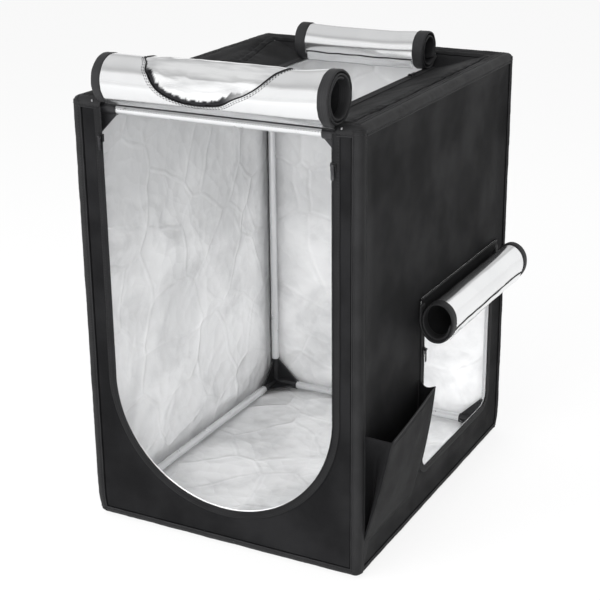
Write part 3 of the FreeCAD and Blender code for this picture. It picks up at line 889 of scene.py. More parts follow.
def make_ring(name, top, stands_for):
    bm = cut_cloth(profile_length, ring_length, binding_cell)
    if top:
        seam_rise = height - door_seam_drop - flat_high
        seam_share = binding_lip + round_edge * math.asin(seam_rise / round_edge)
        gap = [
            face for face in bm.faces
            if face.calc_center_median().x < seam_share
            and abs(face.calc_center_median().y - flat_x) < door_reach
        ]
        bmesh.ops.delete(bm, geom=gap, context="FACES")
    lay_cloth(bm, lambda across, along: ring_point(top, across, along))
    return show(name, bm, binding, "tent", stands_for, thick=binding_thick)


upright_tuck = 5.0
upright_length = flat_high - flat_low + 2 * upright_tuck
cover_corners = [(-1, -1), (-1, 1), (1, -1), (1, 1)]


def upright_point(side_x, side_y, across, along, out=0.0):
    """A point on one of the four upright bindings."""
    bulge = seam_waver(along, across, 17 * side_x + 5 * side_y) + out
    sideways, deep = bulged_profile(across, bulge)
    return swollen(
        Vector((side_x * (flat_x + sideways), side_y * (flat_y + deep), flat_low - upright_tuck + along)),
    )


def make_uprights():
    strips = []
    for side_x, side_y in cover_corners:
        strip = cut_cloth(profile_length, upright_length, binding_cell)
        strips.append(lay_cloth(strip, lambda across, along: upright_point(side_x, side_y, across, along)))
    return show(
        "upright_binding", gather_meshes(strips), binding, "tent",
        ["upright_edge_bindings"], thick=binding_thick,
    )


top_ring = make_ring("top_binding", True, ["top_edge_binding"])
bottom_ring = make_ring("bottom_binding", False, ["bottom_edge_binding"])
uprights = make_uprights()


# ---- Zips round the openings ----

tooth_pitch = 2.0
tooth_size = (1.15, 2.6, 1.3)
zip_rows = (5.6, tape_width - 1.8)


def zip_line(wall):
    hole = wall.hole
    top = wall.high_b if wall is front_wall else hole.high_b
    return u_line(hole.low_a, hole.high_a, hole.low_b, top, hole.radius)


def zip_point(wall, legs, along, outward, out):
    """A point beside an opening: along its outline, away from the hole and out from the wall."""
    (a, b), _ = walk(legs, along, -outward)
    return wall_point(wall, a, b, out)


def make_zip(name, wall, stands_for):
    """The tape, the teeth along its free edge and the two rows of stitches that hold it."""
    legs = zip_line(wall)
    length = length_of(legs) - 0.01
    width = tape_width + tape_lap
    bm = cut_cloth(width, length, 2.2)

    def place(across, along):
        edge = 0.4 * waver(along, 0, wall.seed, 40)
        ridge = 0.5 * math.exp(-((across - 6.6) / 0.9) ** 2)
        return zip_point(wall, legs, along, across - tape_lap + edge, tape_level + ridge)

    lay_cloth(bm, place)
    tape = show(name + "_tape", bm, zip_cloth, "tent", stands_for, thick=0.7)
    teeth = bmesh.new()
    add_teeth(
        teeth, lambda along: zip_point(wall, legs, along, 0.9 - tape_lap, tape_level + 0.45),
        length - 4, tooth_pitch, tooth_size,
    )
    coil = show(name + "_teeth", teeth, tooth_plastic, "tent")
    rows = bmesh.new()
    for row in zip_rows:
        add_stitches(rows, lambda along: zip_point(wall, legs, along, row, tape_level + 0.2), length - 6)
    stitches = show(name + "_stitches", rows, black_thread, "tent")
    return tape, [coil, stitches]


front_zip, front_zip_trim = make_zip("front_zip", front_wall, ["front_zip_tape"])
side_zip, side_zip_trim = make_zip("side_zip", right_wall, ["side_zip_tape"])
top_zip, top_zip_trim = make_zip("top_zip", roof_wall, ["top_zip_tape"])


# ---- Stitches, cords and painted seam shade on the cover ----

seam_x = half_width - sag_border
seam_y = half_depth - sag_border
roof_seams = [
    ("left", -seam_y, seam_y), ("right", -seam_y, seam_y),
    ("rear", -seam_x, seam_x), ("front", -seam_x, seam_x),
]
stitch_inset = 3.4
roof_row_shift = 4.2
roof_shade_shift = 5.6
edge_cord_inset = 0.4
edge_cord_radius = 1.05
shade_line_level = panel_level + 0.5


def roof_seam_point(side, along, shift):
    """A point on the roof's border seam, moved inwards by a shift."""
    if side in ("left", "right"):
        way = -1 if side == "left" else 1
        inset = seam_inset(way * seam_x, along) + shift
        a, b = way * (half_width - inset), along
    else:
        way = -1 if side == "front" else 1
        inset = seam_inset(along, way * seam_y) + shift
        a, b = along, way * (half_depth - inset)
    return wall_point(roof_wall, a, b, panel_level + 0.8)


def binding_lines(inset, out):
    """Both long edges of every binding as lines, an inset from the edge and out from the cloth."""
    edges = (inset, profile_length - inset)
    rings = [
        (lambda s, t=top, c=across: ring_point(t, c, s % ring_length, out), ring_length)
        for top in (True, False) for across in edges
    ]
    uprights = [
        (lambda s, x=side_x, y=side_y, c=across: upright_point(x, y, c, s, out), upright_length)
        for side_x, side_y in cover_corners for across in edges
    ]
    return rings, uprights


def make_cover_stitches():
    """The rows beside every binding, and the double row round the roof's border."""
    rows = bmesh.new()
    rings, uprights = binding_lines(stitch_inset, 0.6)
    lines = rings + uprights
    for shift in (-roof_row_shift, roof_row_shift):
        for side, low, high in roof_seams:
            lines.append((
                lambda s, side=side, low=low, shift=shift: roof_seam_point(side, low + s, shift), high - low,
            ))
    for line, length in lines:
        add_stitches(rows, line, length - 4, half_width=0.55)
    return show("cover_stitches", rows, black_thread, "tent")


def make_edge_cords():
    """The cord sewn into each long edge of the bindings; the top front one stops at the door."""
    rings, uprights = binding_lines(edge_cord_inset, 0.5)
    spans = [(0.0, ring_length)] * len(rings)
    spans[0] = (flat_x + door_reach + 4, ring_length + flat_x - door_reach - 4)
    parts = []
    for (line, _), (start, end) in zip(rings, spans):
        parts.append(welt_mesh(points_along(line, start, end), edge_cord_radius))
    for line, length in uprights:
        parts.append(welt_mesh(points_along(line, 4, length - 4), edge_cord_radius))
    return show("edge_cords", gather_meshes(parts), hem_binding, "tent")


def make_seam_shade_lines():
    """The two sunk cords beside the roof's border seam, and those beside the walls' bindings: near-black, as
    painted shade in the seam lines.
    """
    parts = []
    for side, low, high in roof_seams:
        for shift in (-roof_shade_shift, roof_shade_shift):
            line = points_along(lambda s: roof_seam_point(side, s, shift), low + 8, high - 8, 4.0)
            parts.append(welt_mesh([point - Vector((0, 0, 0.3)) for point in line], 0.85))
    inset = binding_lip + 1.4
    for wall in (front_wall, right_wall, left_wall, rear_wall):
        side_a = wall.reach_a - inset
        foot_b = wall.low_b + inset
        runs = [
            (lambda s: wall_point(wall, -side_a, s, shade_line_level), wall.low_b + 4, wall.high_b - 4),
            (lambda s: wall_point(wall, side_a, s, shade_line_level), wall.low_b + 4, wall.high_b - 4),
            (lambda s: wall_point(wall, s, foot_b, shade_line_level), 4 - wall.reach_a, wall.reach_a - 4),
        ]
        for line, start, end in runs:
            parts.append(welt_mesh(points_along(line, start, end), 0.75))
    return show("seam_shade_lines", gather_meshes(parts), painted_seam_shade, "tent")


cover_stitches = make_cover_stitches()
edge_cords = make_edge_cords()
seam_shade_lines = make_seam_shade_lines()


# ---- The rolled door and flaps ----

Roll = namedtuple("Roll", "legs turn place pivot start end border thick flares oval body")


def roll_legs(seam, centre, radius, pitch, half_turns, turn):
    """A straight run from the seam, then half circles that shrink to make the roll."""
    across = centre[0] - seam[0]
    rise = centre[1] - seam[1]
    distance = math.hypot(across, rise)
    run = math.sqrt(distance * distance - radius * radius)
    heading = math.atan2(rise, across) - turn * math.asin(radius / distance)
    steps = [(run, 0)]
    steps += [(math.pi * (radius - turned * pitch / 2), turn * math.pi) for turned in range(half_turns)]
    return trace(seam, heading, steps)


def across_x(u, p, q):
    return Vector((u, p, q))


def across_y(u, p, q):
    return Vector((p, u, q))


door_low, door_high = corners("front_door_border")
flap_low, flap_high = corners("top_flap_border")
side_low, side_high = corners("side_flap_border")
door_seam = (-half_depth + round_edge + 14.5 * math.cos(math.radians(150)), flat_high + 7.25)
door_centre = (-half_depth + 7.0, height + 34.6)
flap_seam = (half_depth - sag_border - 3.0, roof_high.z + 2.5)
flap_centre = (flap_seam[0] - 41.0, lip_top + 32.6)
side_seam = (panel_high.x + 2.5, side_hole.high_b + 2.5)
side_centre = (side_seam[0] + 31.9, side_seam[1] - 33.0)

door_roll = Roll(
    roll_legs(door_seam, door_centre, 37.9, 5.0, 5, -1), -1, across_x, (door_centre[0], height + 0.4),
    door_low.x, door_high.x, 17.0, 3.9, (-0.02, 0.065), (1.0, 1.0), "front_door",
)
flap_roll = Roll(
    roll_legs(flap_seam, flap_centre, 30.9, 6.0, 4, -1), -1, across_x, (flap_centre[0], lip_top + 0.4),
    flap_low.x, flap_high.x, 21.0, 4.6, (0.02, 0.03), (1.0, 1.0), "top_flap",
)
side_roll = Roll(
    roll_legs(side_seam, side_centre, 31.9, 6.0, 3, 1), 1, across_y, (side_seam[0], side_centre[1]),
    side_low.y, side_high.y, 18.0, 4.8, (0.02, 0.02), (0.87, 1.06), "side_flap",
)


def roll_point(roll, u, along, out):
    """A point on a roll: across it, along its cloth from the seam, and out from the cloth."""
    total = length_of(roll.legs)
    (p, q), _ = walk(roll.legs, along, -roll.turn * out)
    wound = ease(0, roll.legs[0].length + 30, along)
    dents = 0.55 * waver(u / 3.4, p, q, 26) + 0.5 * waver(u, p, q, 75)
    loose = 3.2 * (along / total) ** 4 * waver(u / 2, 0.35 * along, 7, 22)
    (p, q), _ = walk(roll.legs, along, -roll.turn * (out + wound * dents + loose))
    near_start = ease(75, 0, u - roll.start)
    near_end = ease(75, 0, roll.end - u)
    flare = roll.flares[0] * near_start + roll.flares[1] * near_end
    grown = wound * (flare - 0.02 * (1 - near_start - near_end))
    p = roll.pivot[0] + (p - roll.pivot[0]) * (1 + grown) * roll.oval[0]
    q = roll.pivot[1] + (q - roll.pivot[1]) * (1 + grown) * roll.oval[1]
    return roll.place(u, p, q)


def along_at(roll, angle):
    """How far along a roll's cloth its outer turns reach an angle, in degrees about the roll."""
    first = math.degrees(roll.legs[1].heading) - 90 * roll.turn
    turned = math.radians(roll.turn * (angle - first))
    outer = roll.legs[1].length / math.pi
    inner = roll.legs[2].length / math.pi
    run = roll.legs[0].length
    if turned <= math.pi:
        return run + outer * turned
    return run + outer * math.pi + inner * (turned - math.pi)


def make_roll_cloths(name, roll, foil_stands_for, cloth_stands_for):
    """The foil on a roll's outside and the black cloth behind it, from the seam to the free end."""
    total = length_of(roll.legs)
    start = roll.start + 5.0
    width = roll.end - roll.start - 10.0
    made = []
    for part, out, thick, finish, slot, stands_for in (
        ("foil", 0.45, 0.5, roll_foil, "flap_foil", foil_stands_for),
        ("cloth", -0.75, 1.2, flap_oxford, "flap_fabric", cloth_stands_for),
    ):
        bm = cut_cloth(width, total - 3, 4.2)
        lay_cloth(bm, lambda across, along, level=out: roll_point(roll, start + across, along, level))
        made.append(show(name + "_" + part, bm, finish, roll.body, stands_for, thick=thick))
    return made


hem_gap = 8.0
hem_round = 3.0


def make_roll_hems(name, roll, stands_for):
    """The thick folded binding along both ends of a roll, with its row of stitches."""
    total = length_of(roll.legs)
    bands = []
    rows = bmesh.new()
    for side in (-1, 1):
        middle = roll.start + roll.border / 2 if side < 0 else roll.end - roll.border / 2
        section = 2 * roll.border + 2 * roll.thick

        def hem_point(across, along):
            angle = 2 * math.pi * across / section
            reach = roll.border / 2 * (1 + 0.09 * waver(along, side, 4, 12))
            wide = math.copysign(abs(math.cos(angle)) ** 0.4, math.cos(angle))
            deep = math.copysign(abs(math.sin(angle)) ** 0.7, math.sin(angle))
            from_end = min(1.0, (along + 0.001) / hem_round, (total - along + 0.001) / hem_round)
            closing = math.sqrt(max(0.0, 1 - (1 - from_end) ** 2))
            along = hem_gap + along * (1 - hem_gap / total)
            out = -0.4 + closing * deep * roll.thick / 2 * (1 + 0.12 * waver(along, side, 9, 30))
            return roll_point(roll, middle + closing * wide * reach, along, out)

        bands.append(lay_cloth(cut_cloth(section, total, 3.2), hem_point))
        row = middle - side * (roll.border / 2 - 3.0)
        add_stitches(
            rows, lambda along: roll_point(roll, row, along + 6, roll.thick / 2 - 0.3),
            length_of(roll.legs[:3]) - 10,
        )
    bands = gather_meshes(bands)
    bmesh.ops.recalc_face_normals(bands, faces=bands.faces)
    hems = show(name + "_hems", bands, hem_binding, roll.body, stands_for)
    stitches = show(name + "_hem_stitches", rows, black_thread, roll.body)
    return [hems, stitches]


def make_seam_welt(name, roll, finish):
    """The round welt in the seam that a rolled piece turns on."""
    p, q = roll.legs[0].start
    points = [
        roll.place(roll.start + 4 + share * (roll.end - roll.start - 8) / 40, p, q) for share in range(41)
    ]
    return show(name + "_welt", welt_mesh(points, 2.0), finish, roll.body)


def make_slack_strip(name, roll, top, bottom, start, end):
    """A slack fold of foil that hangs round a roll's lower front, under a thin dark welt that is painted
    shade in the gap.
    """
    upper = along_at(roll, top)
    lower = along_at(roll, bottom)
    width = end - start
    drop = abs(lower - upper)

    def strip_point(across, along):
        reach = upper + (lower - upper) * along / drop
        slack = 1.6 + 3.6 * (along / drop) ** 1.5 + 0.9 * waver(across / 2.5, along, 13, 14)
        return roll_point(roll, start + across, reach + 1.5 * waver(across, along, 3, 30), slack)

    bm = cut_cloth(width, drop, 2.6)
    lay_cloth(bm, strip_point)
    strip = show(name + "_slack", bm, roll_foil, roll.body, thick=0.4)
    # Painted shade: a dark welt laid along the gap under the fold.
    points = [strip_point(width * share / 60, 0) for share in range(61)]
    gap = show(name + "_slack_gap_shade", welt_mesh(points, 0.8), welt_cloth, roll.body)
    return strip, gap, (width, drop)


door_foil, door_cloth = make_roll_cloths("door", door_roll, ["front_door_lining"], ["front_door_fabric"])
door_trim = make_roll_hems("door", door_roll, ["front_door_border"])
door_trim.append(make_seam_welt("door", door_roll, welt_cloth))
flap_foil, flap_cloth = make_roll_cloths("top_flap", flap_roll, ["top_flap_lining"], ["top_flap_fabric"])
flap_trim = make_roll_hems("top_flap", flap_roll, ["top_flap_border"])
flap_trim.append(make_seam_welt("top_flap", flap_roll, welt_cloth))
flap_slack, flap_gap_shade, flap_slack_cut = make_slack_strip(
    "top_flap", flap_roll, 204, 236, flap_low.x + 22, flap_high.x - 22,
)
side_foil, side_cloth = make_roll_cloths("side_flap", side_roll, ["side_flap_lining"], ["side_flap_fabric"])
side_slack, side_gap_shade, side_slack_cut = make_slack_strip(
    "side_flap", side_roll, -24, -56, side_low.y + 18, side_high.y - 20,
)
side_trim = make_roll_hems("side_flap", side_roll, ["side_flap_border"])
side_trim.append(make_seam_welt("side_flap", side_roll, welt_cloth))


# ---- The film window in the rolled door ----

window_seam = [
    (-106, 84), (-110, 102), (-101, 121), (-97, 141), (-91, 152),
    (-86, 163), (-79, 175), (-69, 188), (-56, 198),
    (-45, 204), (-30, 210), (-4, 212.5), (22, 209), (35, 204), (53, 189), (72, 177), (88, 163), (97, 152),
    (104, 141), (110, 129), (115, 116), (121, 103), (125, 84),
    (122, 58), (100, 48), (40, 45), (-40, 45), (-88, 48),
    (-104, 60),
]


def rounded_line(places, steps):
    """A smooth closed line through places."""
    line = []
    for index in range(len(places)):
        a, b, c, d = (Vector(places[(index + shift) % len(places)]) for shift in (-1, 0, 1, 2))
        for step in range(steps):
            t = step / steps
            line.append(0.5 * (
                2 * b + (c - a) * t + (2 * a - 5 * b + 4 * c - d) * t * t + (3 * b - a - 3 * c + d) * t ** 3
            ))
    return line


def nearest_on_line(line, place):
    """The nearest point on a closed line, and whether the place is inside it."""
    best = None
    inside = False
    for index, start in enumerate(line):
        end = line[(index + 1) % len(line)]
        run = end - start
        share = min(1.0, max(0.0, (place - start).dot(run) / run.length_squared))
        near = start + run * share
        if best is None or (near - place).length < (best - place).length:
            best = near
        if (start.y > place.y) != (end.y > place.y):
            crossing = start.x + (place.y - start.y) / (end.y - start.y) * (end.x - start.x)
            if crossing > place.x:
                inside = not inside
    return best, inside


window_line = rounded_line([(u, along_at(door_roll, angle)) for u, angle in window_seam], 4)


def film_point(u, along):
    """A point on the window's film, which lies loose on the door and is gathered at its seam."""
    near, _ = nearest_on_line(window_line, Vector((u, along)))
    from_seam = (near - Vector((u, along))).length
    way = math.atan2(along - 70, u)
    gathers = math.exp(-from_seam / 9) * waver(22 * way, 3, 1, 1.4)
    ripples = 1 - 2.2 * abs(waver(u / 2.6 + 0.5 * along, along - 0.2 * u, 31, 17))
    loose = ease(0, 22, from_seam) * (1.1 + 0.6 * ripples) + 0.35 * gathers
    return roll_point(door_roll, u, along, 1.0 + max(0.0, loose))


def film_shade(u, along):
    """How dark the film is: painted shade in a band above its lower seam."""
    near, _ = nearest_on_line(window_line, Vector((u, along)))
    from_seam = (near - Vector((u, along))).length
    lowest = ease(100, 35, near.x) * ease(along_at(door_roll, 108), along_at(door_roll, 150), near.y)
    ragged = 2.4 * waver(u, along, 5, 8) + 2.2 * waver(u, along / 2, 9, 3.5)
    foot = ease(along_at(door_roll, 126), along_at(door_roll, 150), near.y) * ease(92, 50, near.x)
    width = 3.2 + 7.0 * foot
    return lowest * ease(width, width - 2.2, from_seam + ragged)


def make_window():
    low = Vector((min(p.x for p in window_line), min(p.y for p in window_line))) - Vector((3, 3))
    high = Vector((max(p.x for p in window_line), max(p.y for p in window_line))) + Vector((3, 3))
    bm = cut_cloth(high.x - low.x, high.y - low.y, 2.4)
    gone = []
    for face in bm.faces:
        if not nearest_on_line(window_line, face.calc_center_median().xy + low)[1]:
            gone.append(face)
    bmesh.ops.delete(bm, geom=gone, context="FACES")
    for point in bm.verts:
        if point.is_boundary:
            near, _ = nearest_on_line(window_line, point.co.xy + low)
            point.co.xy = near - low
    # The shade layer is painted shade along the film's lower seam.
    shade = bm.verts.layers.float.new("shade")
    for point in bm.verts:
        point[shade] = film_shade(point.co.x + low.x, point.co.y + low.y)
    lay_cloth(bm, lambda a, b: film_point(a + low.x, b + low.y))
    film = show(
        "door_window_film", bm, window_film, "front_door", ["front_door_window"], thick=0.25,
    )
    seam_points = [roll_point(door_roll, p.x, p.y, 1.5) for p in window_line]
    seam = show(
        "door_window_seam", welt_mesh(seam_points, 0.95, closed=True),
        welt_cloth, "front_door",
    )
    middle = Vector((8, 100))
    rows = bmesh.new()
    for grow in (3.2, 6.0):
        outer = [p + (p - middle).normalized() * grow for p in window_line]
        starts = [0.0]
        for a, b in zip(outer, outer[1:] + outer[:1]):
            starts.append(starts[-1] + (b - a).length)

        def row_point(distance, line=outer, marks=starts):
            index = max(i for i, mark in enumerate(marks[:-1]) if mark <= distance % marks[-1])
            share = (distance % marks[-1] - marks[index]) / (marks[index + 1] - marks[index])
            place = line[index].lerp(line[(index + 1) % len(line)], share)
            return roll_point(door_roll, place.x, place.y, 0.95)

        add_stitches(rows, row_point, starts[-1], pitch=5.2, stitch=3.6, half_width=0.62)
    stitches = show("door_window_stitches", rows, grey_thread, "front_door")
    return film, [seam, stitches]


window, window_trim = make_window()


# ---- The pocket on the right wall ----

pocket_low, pocket_high = corners("pocket_front")
pocket_rear_mouth = corners("pocket_gusset_rear")[1].x
pocket_length = pocket_high.y - pocket_low.y
pocket_rise = pocket_high.z - pocket_low.z
gusset_width = 52.0


def pocket_mouth(share):
    return pocket_high.x - 1 + (pocket_rear_mouth - pocket_high.x) * share


def pocket_point(share, rise, out=0.0):
    """A point on the pocket's front: its share of the length, and of the way up to the mouth."""
    foot = pocket_low.z + 24 * ease(0.86, 1.0, share) * (1 - rise)
    wall = half_width + 0.6
    belly = 5.0 * math.sin(math.pi * rise) * math.sin(math.pi * (0.15 + 0.7 * share))
    sag = -2.0 * math.sin(math.pi * share) * rise ** 3
    ripples = 0.8 * waver(150 * share, 110 * rise, 77, 38) * math.sin(math.pi * rise)
    x = wall + (pocket_mouth(share) - wall) * rise ** 0.94 + belly + ripples + out
    y = pocket_low.y + 1 + (pocket_length - 2) * share
    y = y - 5 * ease(0.8, 1, share) * (1 - rise) - 4 * (1 - share) ** 2
    return Vector((x, y, foot + (pocket_high.z - foot) * rise + sag))


def gusset_point(at_front, across, rise):
    """A point on an end gusset, which folds into the pocket."""
    share = 0.0 if at_front else 1.0
    outer = pocket_point(share, rise)
    wall = panel_high.x + 0.8
    inward = 1 if at_front else -1
    fold = math.sin(math.pi * across) ** 1.4
    second = 0.35 * math.sin(2 * math.pi * across)
    held, full = (4.0, 22.0) if at_front else (2.0, 12.0)
    opened = math.sin(math.pi * min(rise, 0.97)) ** 0.7
    depth = (fold + 1.3 * second * (1 - rise ** 3)) * (held + (full - held) * opened)
    soft = 1.2 * waver(across * 30, rise * 160, 19 * inward, 26) * fold
    dip = -3.5 * fold * rise ** 6
    lift = (2 if at_front else 6) * (1 - across) ** 2 * rise ** 4
    x = wall + (outer.x - wall) * across
    return Vector((x, outer.y + inward * (depth + soft), outer.z + dip + lift))


def make_pocket():
    bm = cut_cloth(pocket_length, pocket_rise, 5.0)
    lay_cloth(bm, lambda a, b: pocket_point(a / pocket_length, b / pocket_rise))
    front = show("pocket_cloth", bm, pocket_oxford, "tent", ["pocket_front"], thick=1.2)
    trim = []
    ends = (("front", True, "pocket_gusset_front"), ("rear", False, "pocket_gusset_rear"))
    for name, at_front, node in ends:
        bm = cut_cloth(gusset_width, pocket_rise, 3.6)
        lay_cloth(bm, lambda a, b: gusset_point(at_front, a / gusset_width, b / pocket_rise))
        trim.append(
            show("pocket_" + name + "_fold", bm, pocket_oxford, "tent", [node], thick=1.0),
        )
    hem = [pocket_point(share / 40, 0.995, 0.2) for share in range(41)]
    edges = welt_mesh(hem, 1.5)
    trim.append(show("pocket_mouth_hem", edges, hem_binding, "tent"))
    for name, share in (("front", 0.0), ("rear", 1.0)):
        corner = [pocket_point(share, step / 40, 0.3) for step in range(41)]
        trim.append(
            show("pocket_" + name + "_seam", welt_mesh(corner, 0.9), welt_cloth, "tent"),
        )
    rows = bmesh.new()
    for rise in (0.955, 0.94):
        add_stitches(
            rows, lambda s, r=rise: pocket_point(s / pocket_length, r, 0.9), pocket_length - 4,
        )
    for share in (0.02, 0.98):
        add_stitches(
            rows, lambda s, k=share: pocket_point(k, s / pocket_rise, 0.9), pocket_rise - 8,
        )
    add_stitches(rows, lambda s: pocket_point(s / pocket_length, 0.02, 0.9), pocket_length - 4)
    trim.append(show("pocket_stitches", rows, black_thread, "tent"))
    return front, trim


pocket, pocket_trim = make_pocket()


# ---- Small metal and the frame ----

def make_zip_stops():
    """The bright stops clamped over the front zip's top ends."""
    bm = bmesh.new()
    for side in (-1, 1):
        place = ring_point(True, 0.45 * profile_length, flat_x + side * (door_high.x + 5), 0.9) * MM
        size = Matrix.Diagonal((3.2, 2.4, 3.8, 1)) @ Matrix.Scale(MM, 4)
        made = bmesh.ops.create_cube(bm, size=1.0, matrix=Matrix.Translation(place) @ size)
        edges = list({edge for point in made["verts"] for edge in point.link_edges})
        bmesh.ops.bevel(
            bm, geom=edges, offset=1.0 * MM, segments=2, profile=0.5, affect="EDGES", material=-1,
        )
    return show("front_zip_stops", bm, stop_metal, "tent")


zip_stops = make_zip_stops()

frame_finishes = {
    "tube_": tube_coat, "post_": tube_coat, "connector_": connector_plastic,
    "_slider": slider_coat, "_pull": pull_coat,
}
for node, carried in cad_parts.items():
    for key, finish in frame_finishes.items():
        if node.startswith(key) or (key in node and key.startswith("_")):
            for held in carried.material_slots:
                held.material = finish


# ---- Flat cuts of the cloths ----

def declare(piece, width, length, held, rests_on, trim=(), cut=None):
    """Take a cloth with its flat cut in millimetres; nothing is done with them."""
    list(trim)
    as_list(rests_on)


door_flat = (400, 654)
flap_flat = (248, 396)
side_flat = (354, 332)
window_flat = (234, 118)
window_cut = 23400
door_round = door_flat[0] / 2
door_cut = door_flat[0] * (door_flat[1] - door_round) + math.pi * door_round ** 2 / 2
panel_tall = flat_high - flat_low + 4
panel_wide = 2 * flat_x + 4
panel_deep = 2 * flat_y + 4
arch_cut = (2 * door_reach + 6) * (flat_high - door_bottom) - (1 - math.pi / 4) * 2 * door_reach ** 2
side_cut, roof_cut = (
    (hole.high_a - hole.low_a) * (hole.high_b - hole.low_b) for hole in (side_hole, roof_hole)
)
side_area = panel_deep * panel_tall - side_cut
roof_area = panel_wide * panel_deep - roof_cut
frame_rails = ["tube_front_top", "tube_rear_top", "tube_left_top", "tube_right_top"]

u_long = length_of(zip_line(front_wall))
u_wide = (panel_wide * panel_tall - arch_cut) / u_long
declare(
    front_panel, u_wide, u_long, "stretched", ["post_front_left", "post_front_right"],
    [front_zip, *front_zip_trim, zip_stops],
)
declare(rear_panel, panel_wide, panel_tall, "stretched", ["post_rear_left", "post_rear_right"], [uprights])
declare(
    left_panel, panel_deep, panel_tall, "stretched",
    ["post_front_left", "post_rear_left"], [cover_stitches, edge_cords, seam_shade_lines],
)
declare(
    right_panel, panel_deep, panel_tall, "stretched", ["post_front_right", "post_rear_right"],
    [side_zip, *side_zip_trim], side_area,
)
declare(
    floor_panel, panel_wide, panel_deep, "stretched",
    ["tube_left_bottom", "tube_right_bottom"], [bottom_ring],
)
declare(
    roof_panel, panel_wide, panel_deep, "stretched", frame_rails, [top_ring, top_zip, *top_zip_trim],
    roof_area,
)
declare(front_foil, u_wide, u_long, "stretched", ["front_cloth"])
declare(rear_foil, panel_wide, panel_tall, "stretched", ["rear_cloth"])
declare(left_foil, panel_deep, panel_tall, "stretched", ["left_cloth"])
declare(right_foil, panel_deep, panel_tall, "stretched", ["right_cloth"], cut=side_area)
declare(floor_foil, panel_wide, panel_deep, "stretched", ["floor_cloth"])
declare(roof_foil, panel_wide, panel_deep, "stretched", ["roof_cloth"], cut=roof_area)
declare(door_foil, *door_flat, "folded", ["roof_cloth"], [*door_trim, *window_trim], door_cut)
declare(door_cloth, *door_flat, "folded", ["roof_cloth"], cut=door_cut)
declare(flap_foil, *flap_flat, "folded", ["roof_cloth"], flap_trim)
declare(flap_cloth, *flap_flat, "folded", ["roof_cloth"])
declare(flap_slack, *flap_slack_cut, "laid", ["top_flap_foil"], [flap_gap_shade])
declare(side_foil, *side_flat, "folded", ["right_cloth"], side_trim)
declare(side_cloth, *side_flat, "folded", ["right_cloth"])
declare(side_slack, *side_slack_cut, "laid", ["side_flap_foil"], [side_gap_shade])
declare(window, *window_flat, "laid", ["door_foil"], cut=window_cut)
declare(pocket, pocket_length, pocket_rise + 10, "stretched", ["right_cloth"], pocket_trim)


# ---- Studio ----

def make_studio():
    """A wide floor, near white to the view and darker where it lights the cloths."""
    bm = bmesh.new()
    bmesh.ops.create_grid(bm, x_segments=1, y_segments=1, size=30.0)
    bmesh.ops.translate(bm, vec=(0, 0, -0.0022), verts=bm.verts)
    mesh = bpy.data.meshes.new("studio_floor")
    bm.to_mesh(mesh)
    bm.free()
    floor = bpy.data.objects.new("studio_floor", mesh)
    bpy.context.scene.collection.objects.link(floor)
    paper = bpy.data.materials.new("studio_paper")
    paper.use_nodes = True
    tree = paper.node_tree
    tree.nodes.clear()
    path = add(tree, "LightPath")
    seen = sums(tree, "MAXIMUM", path.outputs["Is Camera Ray"], path.outputs["Is Glossy Ray"])
    seen = sums(tree, "MAXIMUM", seen, path.outputs["Is Transmission Ray"])
    paper_white = tint(tree, path.outputs["Is Diffuse Ray"], (0.93, 0.93, 0.93, 1), (0.5, 0.5, 0.5, 1))
    matte = add(tree, "BsdfDiffuse", Color=paper_white)
    white = add(tree, "Emission", Color=(1, 1, 1, 1), Strength=1.0)
    share = add(tree, "MixShader", Fac=sums(tree, "MULTIPLY", seen, 0.84))
    tree.links.new(matte.outputs[0], share.inputs[1])
    tree.links.new(white.outputs[0], share.inputs[2])
    result = tree.nodes.new("ShaderNodeOutputMaterial")
    tree.links.new(share.outputs[0], result.inputs["Surface"])
    mesh.materials.append(paper)


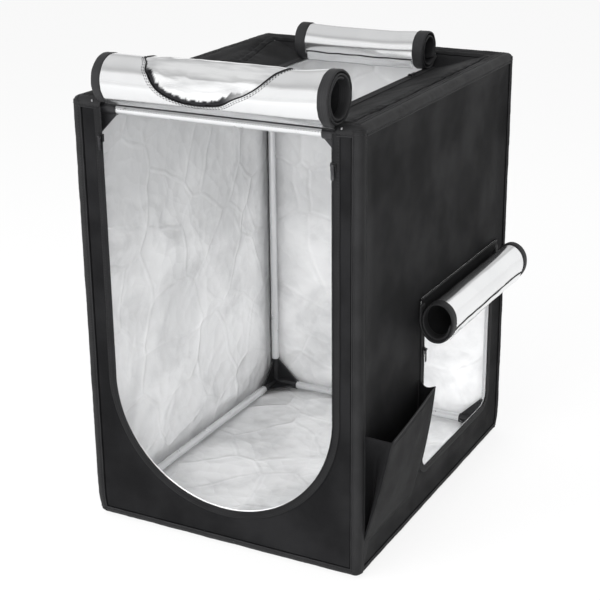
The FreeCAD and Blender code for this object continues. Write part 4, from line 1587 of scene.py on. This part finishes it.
def make_surround():
    """A white surround: it lights less from the right, and is grey overhead to polished pieces."""
    world = bpy.data.worlds.new("studio_surround")
    bpy.context.scene.world = world
    world.use_nodes = True
    tree = world.node_tree
    tree.nodes.clear()
    path = add(tree, "LightPath")
    coords = add(tree, "TexCoord")
    way = add(tree, "SeparateXYZ", Vector=coords.outputs["Object"])
    leftwards = spread(tree, way.outputs["X"], -0.2, 0.2, 0.4, 0.0)
    behind = sums(tree, "MULTIPLY", sums(tree, "MAXIMUM", way.outputs["Y"], 0.0), leftwards)
    rise = sums(tree, "ADD", way.outputs["Z"], behind)
    falling = spread(tree, rise, 0.48, 0.66, 1.0, 0.52)
    overhead = sums(tree, "ADD", falling, spread(tree, rise, 0.68, 0.86, 0.0, 0.2))
    bare = sums(tree, "MAXIMUM", path.outputs["Is Camera Ray"], path.outputs["Is Transmission Ray"])
    polished = sums(tree, "MULTIPLY", path.outputs["Is Glossy Ray"], overhead)
    seen = sums(tree, "MAXIMUM", bare, polished)
    strength = sums(tree, "MAXIMUM", seen, spread(tree, way.outputs["X"], -0.1, 0.8, 0.77, 0.36))
    soft = sums(tree, "MULTIPLY", sums(tree, "SUBTRACT", 1.0, path.outputs["Is Glossy Ray"]), strength)
    strength = sums(tree, "ADD", soft, polished)
    sky = add(tree, "Background", Color=(1, 1, 1, 1), Strength=strength)
    result = tree.nodes.new("ShaderNodeOutputWorld")
    tree.links.new(sky.outputs[0], result.inputs["Surface"])


def add_lamp(name, place, aim, size, power, mirrored=True):
    lamp = bpy.data.lights.new(name, "AREA")
    lamp.shape = "RECTANGLE"
    lamp.size, lamp.size_y = size
    lamp.energy = power
    holder = bpy.data.objects.new(name, lamp)
    bpy.context.scene.collection.objects.link(holder)
    holder.visible_glossy = mirrored
    holder.location = place
    holder.rotation_euler = (Vector(aim) - Vector(place)).to_track_quat("-Z", "Y").to_euler()


make_studio()
make_surround()
add_lamp("front_softbox", (-0.7, -2.6, 1.3), (0, 0, 0.32), (2.6, 2.2), 84, mirrored=False)
add_lamp("top_softbox", (0.1, 0.2, 2.6), (0, 0, 0.3), (3.0, 3.0), 30, mirrored=False)
add_lamp("inner_fill", (1.3, -2.3, 0.75), (-0.2, 0.1, 0.3), (1.2, 1.2), 37, mirrored=False)


# ---- Camera ----

view_azimuth = 27.755
view_elevation = 20.357
view_roll = -0.5646
view_aim = (-0.016345, 0, 0.32205)
view_distance = 2.49188
view_lens = 85.8


def make_camera():
    azimuth = math.radians(view_azimuth)
    elevation = math.radians(view_elevation)
    roll = math.radians(view_roll)
    back = Vector((
        math.sin(azimuth) * math.cos(elevation),
        -math.cos(azimuth) * math.cos(elevation), math.sin(elevation),
    ))
    right = Vector((math.cos(azimuth), math.sin(azimuth), 0))
    above = back.cross(right)
    level = right * math.cos(roll) + above * math.sin(roll)
    above = above * math.cos(roll) - right * math.sin(roll)
    lens = bpy.data.cameras.new("view")
    lens.lens = view_lens
    lens.sensor_width = 36.0
    camera = bpy.data.objects.new("view", lens)
    bpy.context.scene.collection.objects.link(camera)
    turn = Matrix((level, above, back)).transposed().to_4x4()
    camera.matrix_world = Matrix.Translation(Vector(view_aim) + back * view_distance) @ turn
    bpy.context.scene.camera = camera


make_camera()
bpy.context.scene.view_settings.view_transform = "Standard"

bpy.context.view_layer.update()
